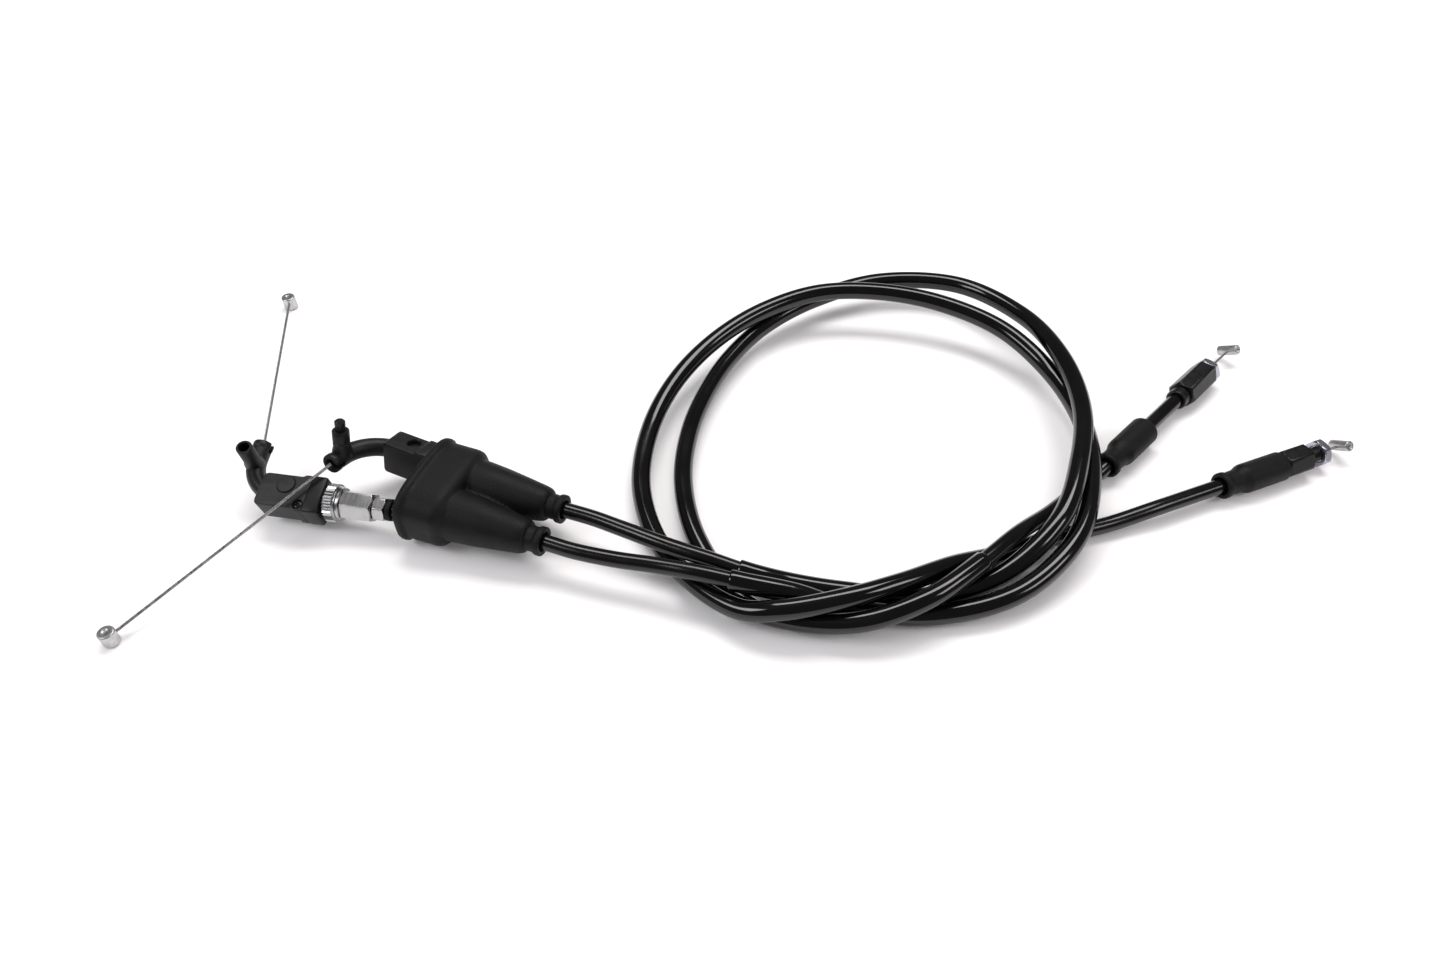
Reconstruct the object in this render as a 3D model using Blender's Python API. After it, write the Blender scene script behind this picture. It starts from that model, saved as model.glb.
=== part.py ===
# A pair of throttle cables for a motorcycle twistgrip: a pull cable and a return cable that lie in one
# loose loop. Each has a wire, a casing and an outer sleeve, an elbow guide at the grip end and a threaded
# fitting at the carburettor end. A double rubber boot holds the two casings together below the guides.

import math

import bmesh
import bpy
import numpy as np
from mathutils import Euler, Matrix, Vector

MM = 0.001

# Clearances
FIT = 0.3 * MM
BOOT_PLAY = 0.6 * MM
ROUTE_GAP = 0.4 * MM

# Wire, casing and sleeve, as radii
WIRE_RADIUS = 0.6 * MM
WIRE_PLAY = 0.6 * MM
CASING_RADIUS = 3.0 * MM
SLEEVE_RADIUS = 3.8 * MM
BORE_RADIUS = WIRE_RADIUS + WIRE_PLAY
CASING_FIT_RADIUS = CASING_RADIUS + FIT
ROUTE_STEP = 17.0 * MM
CABLE_SIDES = 6

# Elbow guides: tube radius, bend and the length of the straight mouth
ELBOW_RADIUS = 3.6 * MM
SPIGOT_RADIUS = 2.5 * MM
ELBOW_BEND = 14.5 * MM
ELBOW_TURN = math.radians(88)
MOUTH_LENGTH = 7.0 * MM
ELBOW_SOCKET = 3.0 * MM
SPIGOT_GAP = 0.6 * MM
SLOT_HALF_WIDTH = 1.0 * MM
SLOT_DEPTH = 4.0 * MM
ELBOW_SIDES = 12
SPIGOT_RINGS = 4
ELBOW_RINGS = 9

# Pegs that stand on the elbows
PEG_ROOT = 1.6 * MM
PULL_PEG_RADIUS = 3.0 * MM
PULL_PEG_HEIGHT = 14.5 * MM
PULL_PEG_HOLE = 1.9 * MM
PULL_PEG_HOLE_DEPTH = 8.0 * MM
PULL_PEG_ANGLE = math.radians(77)
PULL_PEG_LEAN = math.radians(6)
RETURN_PEG_RADIUS = 3.2 * MM
RETURN_PEG_SHOULDER = 12.0 * MM
RETURN_PEG_TIP = 2.0 * MM
RETURN_PEG_HEIGHT = 16.2 * MM
RETURN_PEG_ANGLE = math.radians(90)
PEG_CHAMFER = 0.5 * MM

# Guide blocks
BLOCK_LENGTH = 25.2 * MM
BLOCK_HALF_WIDTH = 6.8 * MM
BLOCK_REAR_LENGTH = 9.8 * MM
BLOCK_REAR_HALF_WIDTH = 7.7 * MM
BLOCK_HALF_THICKNESS = 5.2 * MM
BLOCK_EDGE = 0.6 * MM
BLOCK_EDGE_STEPS = 2
RETURN_BLOCK_LENGTH = 19.8 * MM
RETURN_BLOCK_REAR_LENGTH = 5.5 * MM
PULL_BEND_INSET = 6.4 * MM
RETURN_BEND_INSET = 3.4 * MM
RETURN_BLOCK_DROP = 1.2 * MM
PLUG_RADIUS = 3.3 * MM
PLUG_SEAT = 1.1 * MM
PLUG_PROUD = 0.6 * MM
PLUG_PLACE = (10.1 * MM, 2.5 * MM)
SCREW_HEAD_RADIUS = 1.7 * MM
SCREW_HEAD_DEPTH = 1.0 * MM
SCREW_SEAT = 1.5 * MM
SCREW_SHANK_RADIUS = 0.9 * MM
SCREW_SHANK_LENGTH = 5.0 * MM
SCREW_PLACE = (17.1 * MM, -4.9 * MM)
SOCKET_RADIUS = 2.6 * MM
SOCKET_DEPTH = 2.2 * MM
SOCKET_PLACE = (10.1 * MM, 0.8 * MM)

# Pull cable: stem, lock ring, adjuster and ferrule, from the lock ring's centre towards the casing
STEM_RADIUS = 3.5 * MM
STEM_DEPTH = 6.0 * MM
STEM_SHOWN = 0.7 * MM
STEM_REACH = 10.0 * MM
LOCK_RING_RADIUS = 7.25 * MM
LOCK_RING_WIDTH = 4.8 * MM
LOCK_RING_HUB = 5.4 * MM
LOCK_RING_HUB_WIDTH = 0.9 * MM
KNURL_DEPTH = 0.35 * MM
KNURL_RIDGES = 24
ADJUSTER_FLAT = 5.0 * MM
ADJUSTER_LENGTH = 13.3 * MM
ADJUSTER_WASHER = 6.2 * MM
ADJUSTER_WASHER_WIDTH = 1.2 * MM
FERRULE_FLAT = 4.1 * MM
FERRULE_LENGTH = 4.6 * MM
FERRULE_NOSE_GAP = 1.0 * MM
FERRULE_FLOOR = 0.6 * MM
SEAL_RADIUS = 4.1 * MM
SEAL_WIDTH = 2.0 * MM

# Return cable: ferrule between the guide block and the casing
RETURN_FERRULE_RADIUS = 4.2 * MM
RETURN_FERRULE_LENGTH = 10.5 * MM
RETURN_FERRULE_FLOOR = 4.5 * MM

# Double boot, measured back from where the cables leave it
BOOT_PITCH = 8.3 * MM
BOOT_LENGTH = 55.0 * MM
BOOT_WALL = 2.5 * MM
COLLAR_HALF_WIDTH = 20.2 * MM
COLLAR_HALF_HEIGHT = 12.0 * MM
LIP_HEIGHT = 1.0 * MM
LIP_WIDTH = 3.5 * MM
COLLAR_LENGTH = 16.5 * MM
SHOULDER_LENGTH = 5.0 * MM
SHOULDER_IN = 2.6 * MM
FINGER_ROOT_RADIUS = 9.5 * MM
FINGER_TIP_RADIUS = 6.2 * MM
FINGER_TIP = 6.0 * MM
NECK_RADIUS = 4.9 * MM
RIDGE_RADIUS = 5.6 * MM
RIDGE_WIDTH = 2.2 * MM
BOOT_SQUARENESS = 0.62
COLLAR_SIDES = 32
FINGER_SIDES = 20

# Carburettor ends: crimped ferrule, hexagonal fitting, threaded stem, lock nut and boot
CRIMP_RADIUS = 4.3 * MM
CRIMP_FLOOR = 1.7 * MM
PULL_CRIMP_LENGTH = 14.0 * MM
RETURN_CRIMP_LENGTH = 4.4 * MM
FITTING_FLAT = 5.25 * MM
FITTING_EDGE = 0.5 * MM
PULL_HEX_LENGTH = 12.0 * MM
RETURN_HEX_LENGTH = 20.0 * MM
THREAD_RADIUS = 3.0 * MM
PULL_THREAD_LENGTH = 8.6 * MM
RETURN_THREAD_LENGTH = 4.5 * MM
NUT_FLAT = 5.0 * MM
NUT_WIDTH = 3.2 * MM
PULL_NUT_PLACE = 5.3 * MM
CARB_BOOT_LENGTH = 29.6 * MM
CARB_BOOT_RADIUS = 5.9 * MM
CARB_BOOT_NECK = 4.7 * MM
CARB_BOOT_NECK_LENGTH = 8.0 * MM
CARB_BOOT_RIDGE = 5.2 * MM
CARB_BOOT_RIDGE_WIDTH = 2.4 * MM
CARB_BOOT_SHOULDER = 3.0 * MM
CARB_BOOT_LIP = 0.5 * MM
RETURN_BOOT_BACK = 30.0 * MM

# Nipples: radius, half length and how far each stands out
THROTTLE_NIPPLE_RADIUS = 3.0 * MM
THROTTLE_NIPPLE_HALF = 3.0 * MM
CARB_NIPPLE_RADIUS = 2.15 * MM
CARB_NIPPLE_HALF = 4.4 * MM
NIPPLE_EDGE = 0.35 * MM
PULL_CARB_REACH = 30.4 * MM
RETURN_CARB_REACH = 41.8 * MM
CARB_TAIL = 16.0 * MM

# Reach of the laid-out pair from its middle, and the heights of its lines above the floor
GRIP_REACH = 231.2 * MM
GRIP_SPREAD = 94.4 * MM
PULL_NIPPLE_STEP = 9.0 * MM
CARB_REACH = 202.0 * MM
RETURN_CARB_STEP = 27.0 * MM
THROTTLE_NIPPLE_HEIGHT = 3.2 * MM
PULL_GUIDE_HEIGHT = 11.5 * MM
RETURN_GUIDE_HEIGHT = 16.0 * MM
BOOT_HEIGHT = 13.0 * MM
CARB_HEIGHT = 6.0 * MM

TURNED_SIDES = 24
NUT_SIDES = 12
WIRE_BORE_SIDES = 12
SMOOTH_ANGLE = math.radians(40)
AXIS_SIZE = 10.0 * MM


def axes(place, heading, roll=0.0, pitch=0.0):
    turn = Euler((math.radians(roll), math.radians(pitch), math.radians(heading))).to_matrix().to_4x4()
    return Matrix.Translation(place) @ turn


# Places and headings: local X runs along each line, from the grip end to the cable
PULL_GUIDE = axes((-164.6 * MM, -39.7 * MM, PULL_GUIDE_HEIGHT), -9.5, roll=14)
RETURN_GUIDE = axes((-144.6 * MM, -16.5 * MM, RETURN_GUIDE_HEIGHT), -23.5, roll=-14, pitch=2.5)
DOUBLE_BOOT = axes((-80.4 * MM, -52.3 * MM, BOOT_HEIGHT), -20.5)
PULL_CARB = axes((CARB_REACH, -15.1 * MM, CARB_HEIGHT), 21.9)
RETURN_CARB = axes((CARB_REACH - RETURN_CARB_STEP, 26.4 * MM, CARB_HEIGHT), 44.7)
PULL_NIPPLE = Vector((PULL_NIPPLE_STEP - GRIP_REACH, GRIP_SPREAD, THROTTLE_NIPPLE_HEIGHT))
RETURN_NIPPLE = Vector((-GRIP_REACH, -GRIP_SPREAD, THROTTLE_NIPPLE_HEIGHT))
PULL_CARB_NIPPLE_AXIS = Vector((0.29, -0.73, 0.62))
RETURN_CARB_NIPPLE_AXIS = Vector((0.59, -0.60, 0.55))

# Loop of the two cables: centre, and one station (radius, height) for each 20 degrees
LOOP_CENTRE = (38.0, 4.0)
LOOP_START = -100.0
LOOP_STEP = 20.0
PULL_LOOP = [
    (89.5, 6.5), (92.0, 5.0), (95.5, 7.5), (94.5, 11.5), (90.0, 12.5), (89.0, 10.5),
    (88.5, 10.5), (85.5, 15.0), (80.5, 18.0), (78.0, 19.0), (78.0, 18.5), (76.5, 17.0),
    (77.5, 14.0), (81.0, 10.5), (86.5, 7.5), (94.0, 5.5), (100.5, 5.5), (104.5, 9.0),
]
RETURN_LOOP = [
    (81.0, 4.5), (83.5, 4.0), (86.0, 7.5), (86.5, 15.5), (84.0, 18.5), (86.5, 19.0),
    (91.0, 19.0), (99.5, 15.5), (104.0, 13.0), (96.5, 11.5), (84.5, 10.0), (76.0, 8.5),
    (70.0, 7.5), (68.0, 6.5), (70.5, 5.5), (77.0, 4.5), (86.5, 4.0), (98.0, 4.0),
]

# Routes from the boot to the loop and from the loop to the carburettor ends
PULL_LEAD_IN = [
    (-57.0, -68.5, 13.5), (-42.0, -72.0, 14.5), (-27.0, -76.5, 16.0), (-12.0, -80.0, 15.0),
    (6.0, -81.5, 11.0),
]
PULL_LEAD_OUT = [
    (1.0, -90.5, 13.5), (21.5, -88.0, 16.0), (43.0, -79.5, 14.0), (64.0, -68.0, 9.5),
    (84.5, -59.0, 4.5), (107.0, -50.0, 4.0), (128.0, -43.5, 4.0),
]
RETURN_LEAD_IN = [
    (-55.0, -54.0, 13.0), (-39.0, -62.0, 13.5), (-23.5, -68.5, 13.5), (-8.5, -72.5, 10.5),
    (7.0, -74.0, 6.5),
]
RETURN_LEAD_OUT = [
    (5.0, -89.0, 5.5), (28.0, -93.0, 10.0), (51.0, -86.5, 14.0), (71.0, -72.0, 14.5),
    (88.5, -56.0, 13.0), (105.5, -40.5, 7.5), (121.0, -25.0, 4.0),
]
PULL_ENTRY = (-120.0, -47.9, 12.3)
BOOT_STRAIGHT = (-22.0, 0.0, 12.0)
CARB_STRAIGHT = (-60.0, -48.0, -24.0)
RETURN_FERRULE_OUT = 3.0 * MM
PULL_SEAL_OUT = 3.0 * MM
PULL_SLEEVE = (126.0 * MM, 836.0 * MM)
RETURN_SLEEVE = (106.0 * MM, 782.0 * MM)
LOOK_APART = 40.0 * MM
LOOK_STEP = 1.0 * MM
CURVE_STEPS = 24

# Places along the pull guide's own axis, from the lock ring's centre
RING_FACE = LOCK_RING_WIDTH / 2
BLOCK_REAR = -(RING_FACE + STEM_SHOWN)
BLOCK_FRONT = BLOCK_REAR - BLOCK_LENGTH
STEM_START = BLOCK_REAR - STEM_DEPTH
ADJUSTER_START = RING_FACE + FIT
ADJUSTER_END = ADJUSTER_START + ADJUSTER_LENGTH
FERRULE_START = ADJUSTER_END + FIT
FERRULE_END = FERRULE_START + FERRULE_LENGTH
PULL_CASING_START = FERRULE_START + FERRULE_FLOOR + FIT
SEAL_START = FERRULE_END + FIT
SEAL_END = SEAL_START + SEAL_WIDTH

# Places along the return guide's own axis, from the start of its bend
RETURN_FRONT = -RETURN_BEND_INSET
RETURN_REAR = RETURN_FRONT + RETURN_BLOCK_LENGTH
RETURN_SPIGOT_START = RETURN_REAR - STEM_DEPTH
RETURN_BODY_START = RETURN_REAR + FIT
RETURN_FERRULE_END = RETURN_BODY_START + RETURN_FERRULE_LENGTH
RETURN_CASING_SEAT = RETURN_BODY_START + RETURN_FERRULE_FLOOR
RETURN_CASING_START = RETURN_CASING_SEAT + FIT

# Colours: linear colour, roughness, metallic
BLACK_CASING = ((0.012, 0.012, 0.013), 0.28, 0.0)
BLACK_SLEEVE = ((0.010, 0.010, 0.011), 0.22, 0.0)
RUBBER = ((0.018, 0.018, 0.018), 0.62, 0.0)
GREY_PLASTIC = ((0.060, 0.062, 0.066), 0.45, 0.0)
DARK_PLASTIC = ((0.030, 0.031, 0.033), 0.42, 0.0)
ZINC = ((0.62, 0.61, 0.58), 0.30, 1.0)
BLACK_STEEL = ((0.030, 0.030, 0.032), 0.35, 0.6)
STRAND_STEEL = ((0.52, 0.52, 0.50), 0.38, 1.0)


def clear_scene():
    for old in list(bpy.data.objects):
        bpy.data.objects.remove(old, do_unlink=True)


def finish_of(name, look):
    colour, roughness, metallic = look
    material = bpy.data.materials.new(name)
    material.use_nodes = True
    shader = material.node_tree.nodes["Principled BSDF"]
    shader.inputs["Base Color"].default_value = (*colour, 1.0)
    shader.inputs["Roughness"].default_value = roughness
    shader.inputs["Metallic"].default_value = metallic
    return material


def carrier(name, frame):
    empty = bpy.data.objects.new(name, None)
    empty.empty_display_size = AXIS_SIZE
    empty.matrix_world = frame
    bpy.context.collection.objects.link(empty)
    return empty


def place(name, data, look, parent):
    piece = bpy.data.objects.new(name, data)
    bpy.context.collection.objects.link(piece)
    piece.parent = parent
    if look:
        data.materials.append(finish_of(name, look))
    else:
        piece.hide_render = True
        piece.display_type = "WIRE"
    return piece


def mesh_of(name, shape):
    bmesh.ops.recalc_face_normals(shape, faces=shape.faces)
    mesh = bpy.data.meshes.new(name)
    shape.to_mesh(mesh)
    shape.free()
    mesh.shade_smooth()
    mesh.set_sharp_from_angle(angle=SMOOTH_ANGLE)
    return mesh


def boolean(piece, tools, operation="DIFFERENCE"):
    # All the tools of one operation work at once
    name = f"{piece.name}_{operation.lower()}"
    group = bpy.data.collections.new(name)
    for tool in tools:
        group.objects.link(tool)
    modifier = piece.modifiers.new(name, "BOOLEAN")
    modifier.operation = operation
    modifier.solver = "EXACT"
    modifier.operand_type = "COLLECTION"
    modifier.collection = group


def skin(shape, rings, closed):
    # Joins a list of vertex rings with faces; a ring of one vertex is a pole, and the rest are equally long
    pairs = list(zip(rings[:-1], rings[1:]))
    if closed:
        pairs.append((rings[-1], rings[0]))
    for first, second in pairs:
        count = max(len(first), len(second))
        for k in range(count):
            corners = []
            for ring, step in ((first, k), (first, k + 1), (second, k + 1), (second, k)):
                corner = ring[step % len(ring)]
                if corner not in corners:
                    corners.append(corner)
            if len(corners) > 2:
                shape.faces.new(corners)


def edge_factor(kind, k, sides):
    angle = 2 * math.pi * k / sides
    if kind == "hex":
        sixth = math.pi / 3
        return 1 / math.cos((angle + sixth / 2) % sixth - sixth / 2)
    return 1.0


def turned(name, stations, look, parent, sides=TURNED_SIDES):
    # Spins (x, radius, kind) stations about local X; the stations of a hollow piece close on themselves
    shape = bmesh.new()
    rings = []
    for x, radius, *kind in stations:
        if radius == 0:
            rings.append([shape.verts.new((x, 0, 0))])
            continue
        ring = []
        for k in range(sides):
            angle = 2 * math.pi * k / sides
            reach = radius * edge_factor(kind[0] if kind else "round", k, sides)
            if kind and kind[0] == "knurl" and k % 2:
                reach -= KNURL_DEPTH
            ring.append(shape.verts.new((x, reach * math.sin(angle), reach * math.cos(angle))))
        rings.append(ring)
    skin(shape, rings, closed=stations[0][1] > 0)
    return place(name, mesh_of(name, shape), look, parent)


def extruded(name, outline, low, high, look, parent):
    shape = bmesh.new()
    base = shape.faces.new([shape.verts.new((x, y, low)) for x, y in outline])
    grown = bmesh.ops.extrude_face_region(shape, geom=[base])
    raised = [v for v in grown["geom"] if isinstance(v, bmesh.types.BMVert)]
    bmesh.ops.translate(shape, verts=raised, vec=(0, 0, high - low))
    return place(name, mesh_of(name, shape), look, parent)


def cylinder(name, start, end, radius, parent, look=None, sides=WIRE_BORE_SIDES):
    along = end - start
    stations = [(0, 0), (0, radius), (along.length, radius), (along.length, 0)]
    tool = turned(name, stations, look, parent, sides)
    tool.matrix_basis = Matrix.Translation(start) @ along.to_track_quat("X", "Z").to_matrix().to_4x4()
    return tool


def tube(name, points, radius, look, parent, bore=0.0):
    curve = bpy.data.curves.new(name, "CURVE")
    curve.dimensions = "3D"
    curve.twist_mode = "Z_UP"
    curve.bevel_depth = radius
    curve.bevel_resolution = (CABLE_SIDES - 4) // 2
    curve.use_fill_caps = not bore
    spline = curve.splines.new("POLY")
    spline.points.add(len(points) - 1)
    for point, co in zip(spline.points, points):
        point.co = (*co, 1.0)
    piece = place(name, curve, look, parent)
    if bore:
        wall = piece.modifiers.new("wall", "SOLIDIFY")
        wall.thickness = (radius - bore) * math.cos(math.pi / CABLE_SIDES)
        wall.offset = -1
        wall.use_even_offset = True
    return piece


def smooth_route(control):
    # Centripetal Catmull-Rom curve through the control points, read at even steps
    control = np.array([tuple(point) for point in control])
    padded = np.vstack([2 * control[0] - control[1], control, 2 * control[-1] - control[-2]])
    dense = []
    for p0, p1, p2, p3 in zip(padded, padded[1:], padded[2:], padded[3:]):
        t1 = np.linalg.norm(p1 - p0) ** 0.5
        t2 = t1 + np.linalg.norm(p2 - p1) ** 0.5
        t3 = t2 + np.linalg.norm(p3 - p2) ** 0.5
        for t in np.linspace(t1, t2, CURVE_STEPS, endpoint=False):
            a1 = ((t1 - t) * p0 + t * p1) / t1
            a2 = ((t2 - t) * p1 + (t - t1) * p2) / (t2 - t1)
            a3 = ((t3 - t) * p2 + (t - t2) * p3) / (t3 - t2)
            b1 = ((t2 - t) * a1 + t * a2) / t2
            b2 = ((t3 - t) * a2 + (t - t1) * a3) / (t3 - t1)
            dense.append(((t2 - t) * b1 + (t - t1) * b2) / (t2 - t1))
    dense.append(control[-1])
    dense = np.array(dense)
    run = run_along(dense)
    marks = np.linspace(0, run[-1], round(run[-1] / ROUTE_STEP) + 1)
    return np.stack([np.interp(marks, run, dense[:, k]) for k in range(3)], axis=1)


def loop_points(stations):
    points = []
    for k, (radius, height) in enumerate(stations):
        angle = math.radians(LOOP_START + LOOP_STEP * k)
        x = LOOP_CENTRE[0] + radius * math.cos(angle)
        y = LOOP_CENTRE[1] + radius * math.sin(angle)
        points.append(Vector((x, y, height)) * MM)
    return points


def by_hand(points):
    return [Vector(point) * MM for point in points]


def on_line(frame, distances, side=0.0):
    return [frame @ Vector((x, side, 0)) for x in distances]


def pull_route():
    straight = [x * MM for x in BOOT_STRAIGHT]
    tail = [x * MM for x in CARB_STRAIGHT] + [-FIT - CRIMP_FLOOR - FIT]
    return smooth_route(
        on_line(PULL_GUIDE, (PULL_CASING_START, SEAL_END + PULL_SEAL_OUT))
        + by_hand([PULL_ENTRY])
        + on_line(DOUBLE_BOOT, straight, -BOOT_PITCH)
        + by_hand(PULL_LEAD_IN)
        + loop_points(PULL_LOOP)
        + by_hand(PULL_LEAD_OUT)
        + on_line(PULL_CARB, tail)
    )


def return_route():
    straight = [x * MM for x in BOOT_STRAIGHT]
    tail = [x * MM for x in CARB_STRAIGHT] + [-FIT - CRIMP_FLOOR - FIT]
    return smooth_route(
        on_line(RETURN_GUIDE, (RETURN_CASING_START, RETURN_FERRULE_END + RETURN_FERRULE_OUT))
        + on_line(DOUBLE_BOOT, straight, BOOT_PITCH)
        + by_hand(RETURN_LEAD_IN)
        + loop_points(RETURN_LOOP)
        + by_hand(RETURN_LEAD_OUT)
        + on_line(RETURN_CARB, tail)
    )


def run_along(points):
    return np.concatenate([[0], np.cumsum(np.linalg.norm(np.diff(points, axis=0), axis=1))])


def fine_points(route):
    points = []
    for first, second in zip(route[:-1], route[1:]):
        count = max(1, int(np.linalg.norm(second - first) / LOOK_STEP))
        points.extend(first + (second - first) * k / count for k in range(count))
    points = np.array(points)
    return points, run_along(points)


def radius_along(run, sleeve):
    return np.where((run > sleeve[0]) & (run < sleeve[1]), SLEEVE_RADIUS, CASING_RADIUS)


def least_gap(first, first_sleeve, second, second_sleeve):
    points, run = fine_points(first)
    others, other_run = fine_points(second)
    apart = np.linalg.norm(points[:, None] - others[None], axis=2)
    apart -= radius_along(run, first_sleeve)[:, None] + radius_along(other_run, second_sleeve)[None]
    if first is second:
        apart[np.abs(run[:, None] - other_run[None]) < LOOK_APART] = LOOK_APART
    return apart.min()


def report_gaps(pull, back):
    for words, first, first_sleeve, second, second_sleeve in (
        ("pull cable to itself", pull, PULL_SLEEVE, pull, PULL_SLEEVE),
        ("return cable to itself", back, RETURN_SLEEVE, back, RETURN_SLEEVE),
        ("pull cable to return cable", pull, PULL_SLEEVE, back, RETURN_SLEEVE),
    ):
        gap = least_gap(first, first_sleeve, second, second_sleeve)
        state = "over" if gap > ROUTE_GAP else "UNDER"
        print(f"least gap, {words}: {gap / MM:.2f} mm, {state} {ROUTE_GAP / MM:.1f} mm")


def cable(side, route, sleeve, wire_start, carb, root):
    # Casing with its bore, the sleeve over its middle, and the wire inside up to the sliding tail
    run = run_along(route)
    covered = route[(run >= sleeve[0]) & (run <= sleeve[1])]
    tube(f"{side}_casing", route, CASING_RADIUS, BLACK_CASING, root, BORE_RADIUS)
    tube(f"{side}_sleeve", covered, SLEEVE_RADIUS, BLACK_SLEEVE, root, CASING_FIT_RADIUS)
    stop = carb @ Vector((-CARB_TAIL - FIT, 0, 0))
    left = (Vector(route[-1]) - stop).length
    inside = route[run < run[-1] - left - WIRE_RADIUS]
    tube(f"{side}_core_wire", [wire_start, *inside, stop], WIRE_RADIUS, STRAND_STEEL, root)


class Elbow:
    # Axis of an elbow guide in the plane of its block: straight, round the bend, and straight to the mouth

    def __init__(self, front, bend_inset, inner_end, side):
        self.bend_start = front + bend_inset
        self.inner_end = inner_end
        self.side = side
        self.straight = inner_end - self.bend_start
        self.step = self.straight + ELBOW_BEND * math.asin((bend_inset - ELBOW_SOCKET) / ELBOW_BEND)
        self.length = self.straight + ELBOW_BEND * ELBOW_TURN + MOUTH_LENGTH

    def at(self, run):
        if run <= self.straight:
            return Vector((self.inner_end - run, 0, 0)), Vector((-1, 0, 0))
        angle = min((run - self.straight) / ELBOW_BEND, ELBOW_TURN)
        past = max(run - self.straight - ELBOW_BEND * ELBOW_TURN, 0)
        heading = Vector((-math.cos(angle), self.side * math.sin(angle), 0))
        x = self.bend_start - ELBOW_BEND * math.sin(angle)
        y = self.side * ELBOW_BEND * (1 - math.cos(angle))
        return Vector((x, y, 0)) + heading * past, heading

    def on_bend(self, angle):
        return self.at(self.straight + ELBOW_BEND * angle)[0]

    def mouth(self):
        return self.at(self.length)

    def ring(self, shape, run, radius):
        centre, heading = self.at(run)
        across = Vector((0, 0, 1)).cross(heading)
        ring = []
        for k in range(ELBOW_SIDES):
            angle = 2 * math.pi * k / ELBOW_SIDES
            out = across * math.cos(angle) + Vector((0, 0, math.sin(angle)))
            ring.append(shape.verts.new(centre + out * radius))
        return ring

    def outside(self, shape, grow, early, late):
        rings = []
        for run in np.linspace(-early, self.step - grow, SPIGOT_RINGS):
            rings.append(self.ring(shape, run, SPIGOT_RADIUS + grow))
        for run in np.linspace(self.step - grow, self.length + late, ELBOW_RINGS):
            rings.append(self.ring(shape, run, ELBOW_RADIUS + grow))
        return rings

    def pipe(self, name, look, parent):
        shape = bmesh.new()
        rings = self.outside(shape, 0, 0, 0)
        for run in np.linspace(self.length, 0, ELBOW_RINGS):
            rings.append(self.ring(shape, run, BORE_RADIUS))
        skin(shape, rings, closed=True)
        return place(name, mesh_of(name, shape), look, parent)

    def cutter(self, name, parent):
        shape = bmesh.new()
        rings = self.outside(shape, FIT, 2 * SPIGOT_GAP, MOUTH_LENGTH)
        skin(shape, rings, closed=False)
        shape.faces.new(rings[0])
        shape.faces.new(rings[-1])
        return place(name, mesh_of(name, shape), None, parent)


def mouth_slot(name, elbow, parent):
    # Cutter for the side slot that lets the wire leave the mouth at an angle
    centre, heading = elbow.mouth()
    reach = ELBOW_RADIUS + SLOT_DEPTH
    outline = [(-SLOT_DEPTH, 0), (SLOT_DEPTH, 0), (SLOT_DEPTH, reach), (-SLOT_DEPTH, reach)]
    tool = extruded(name, outline, -SLOT_HALF_WIDTH, SLOT_HALF_WIDTH, None, parent)
    outward = heading.cross(Vector((0, 0, elbow.side)))
    turn = Matrix((heading, outward, heading.cross(outward))).transposed().to_4x4()
    tool.matrix_basis = Matrix.Translation(centre) @ turn
    return tool


def peg(name, elbow, angle, lean, stations, parent):
    tool = turned(name, stations, None, parent, FINGER_SIDES)
    upright = Matrix.Rotation(-math.pi / 2 + lean, 4, "Y")
    tool.matrix_basis = Matrix.Translation(elbow.on_bend(angle)) @ upright
    return tool


def elbow_guide(side, elbow, peg_stations, peg_angle, peg_lean, wire_end, parent):
    pipe = elbow.pipe(f"{side}_elbow", DARK_PLASTIC, parent)
    boolean(pipe, [peg(f"{side}_peg_form", elbow, peg_angle, peg_lean, peg_stations, parent)], "UNION")
    boolean(pipe, [mouth_slot(f"{side}_mouth_slot", elbow, parent)])
    along = [Vector((wire_end, 0, 0))]
    along += [elbow.at(run)[0] for run in np.linspace(0, elbow.length, ELBOW_RINGS + SPIGOT_RINGS)]
    tube(f"{side}_elbow_wire", along, WIRE_RADIUS, STRAND_STEEL, parent)
    return elbow.cutter(f"{side}_elbow_room", parent)


def guide_block(name, front, length, rear_length, parent):
    rear = front + length
    step = rear - rear_length
    half = [(front, BLOCK_HALF_WIDTH), (step, BLOCK_HALF_WIDTH), (step, BLOCK_REAR_HALF_WIDTH),
            (rear, BLOCK_REAR_HALF_WIDTH)]
    outline = half + [(x, -y) for x, y in reversed(half)]
    block = extruded(name, outline, -BLOCK_HALF_THICKNESS, BLOCK_HALF_THICKNESS, GREY_PLASTIC, parent)
    edge = block.modifiers.new("edge", "BEVEL")
    edge.width = BLOCK_EDGE
    edge.segments = BLOCK_EDGE_STEPS
    edge.limit_method = "ANGLE"
    start = Vector((rear - STEM_DEPTH - FIT, 0, 0))
    end = Vector((rear + STEM_DEPTH, 0, 0))
    stem_room = cylinder(f"{name}_stem_room", start, end, STEM_RADIUS + FIT, parent, sides=TURNED_SIDES)
    return block, stem_room


def sunk_piece(name, place_on_face, radius, seat, stations, look, parent):
    # A round piece that sits in a recess of a block's upper face, and the cutter for that recess
    floor = Vector((*place_on_face, BLOCK_HALF_THICKNESS - seat))
    top = Vector((*place_on_face, BLOCK_HALF_THICKNESS + seat))
    piece = turned(name, stations, look, parent, FINGER_SIDES)
    piece.matrix_basis = Matrix.Translation(floor) @ Matrix.Rotation(-math.pi / 2, 4, "Y")
    return cylinder(f"{name}_seat", floor, top, radius + FIT, parent, sides=FINGER_SIDES)


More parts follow.
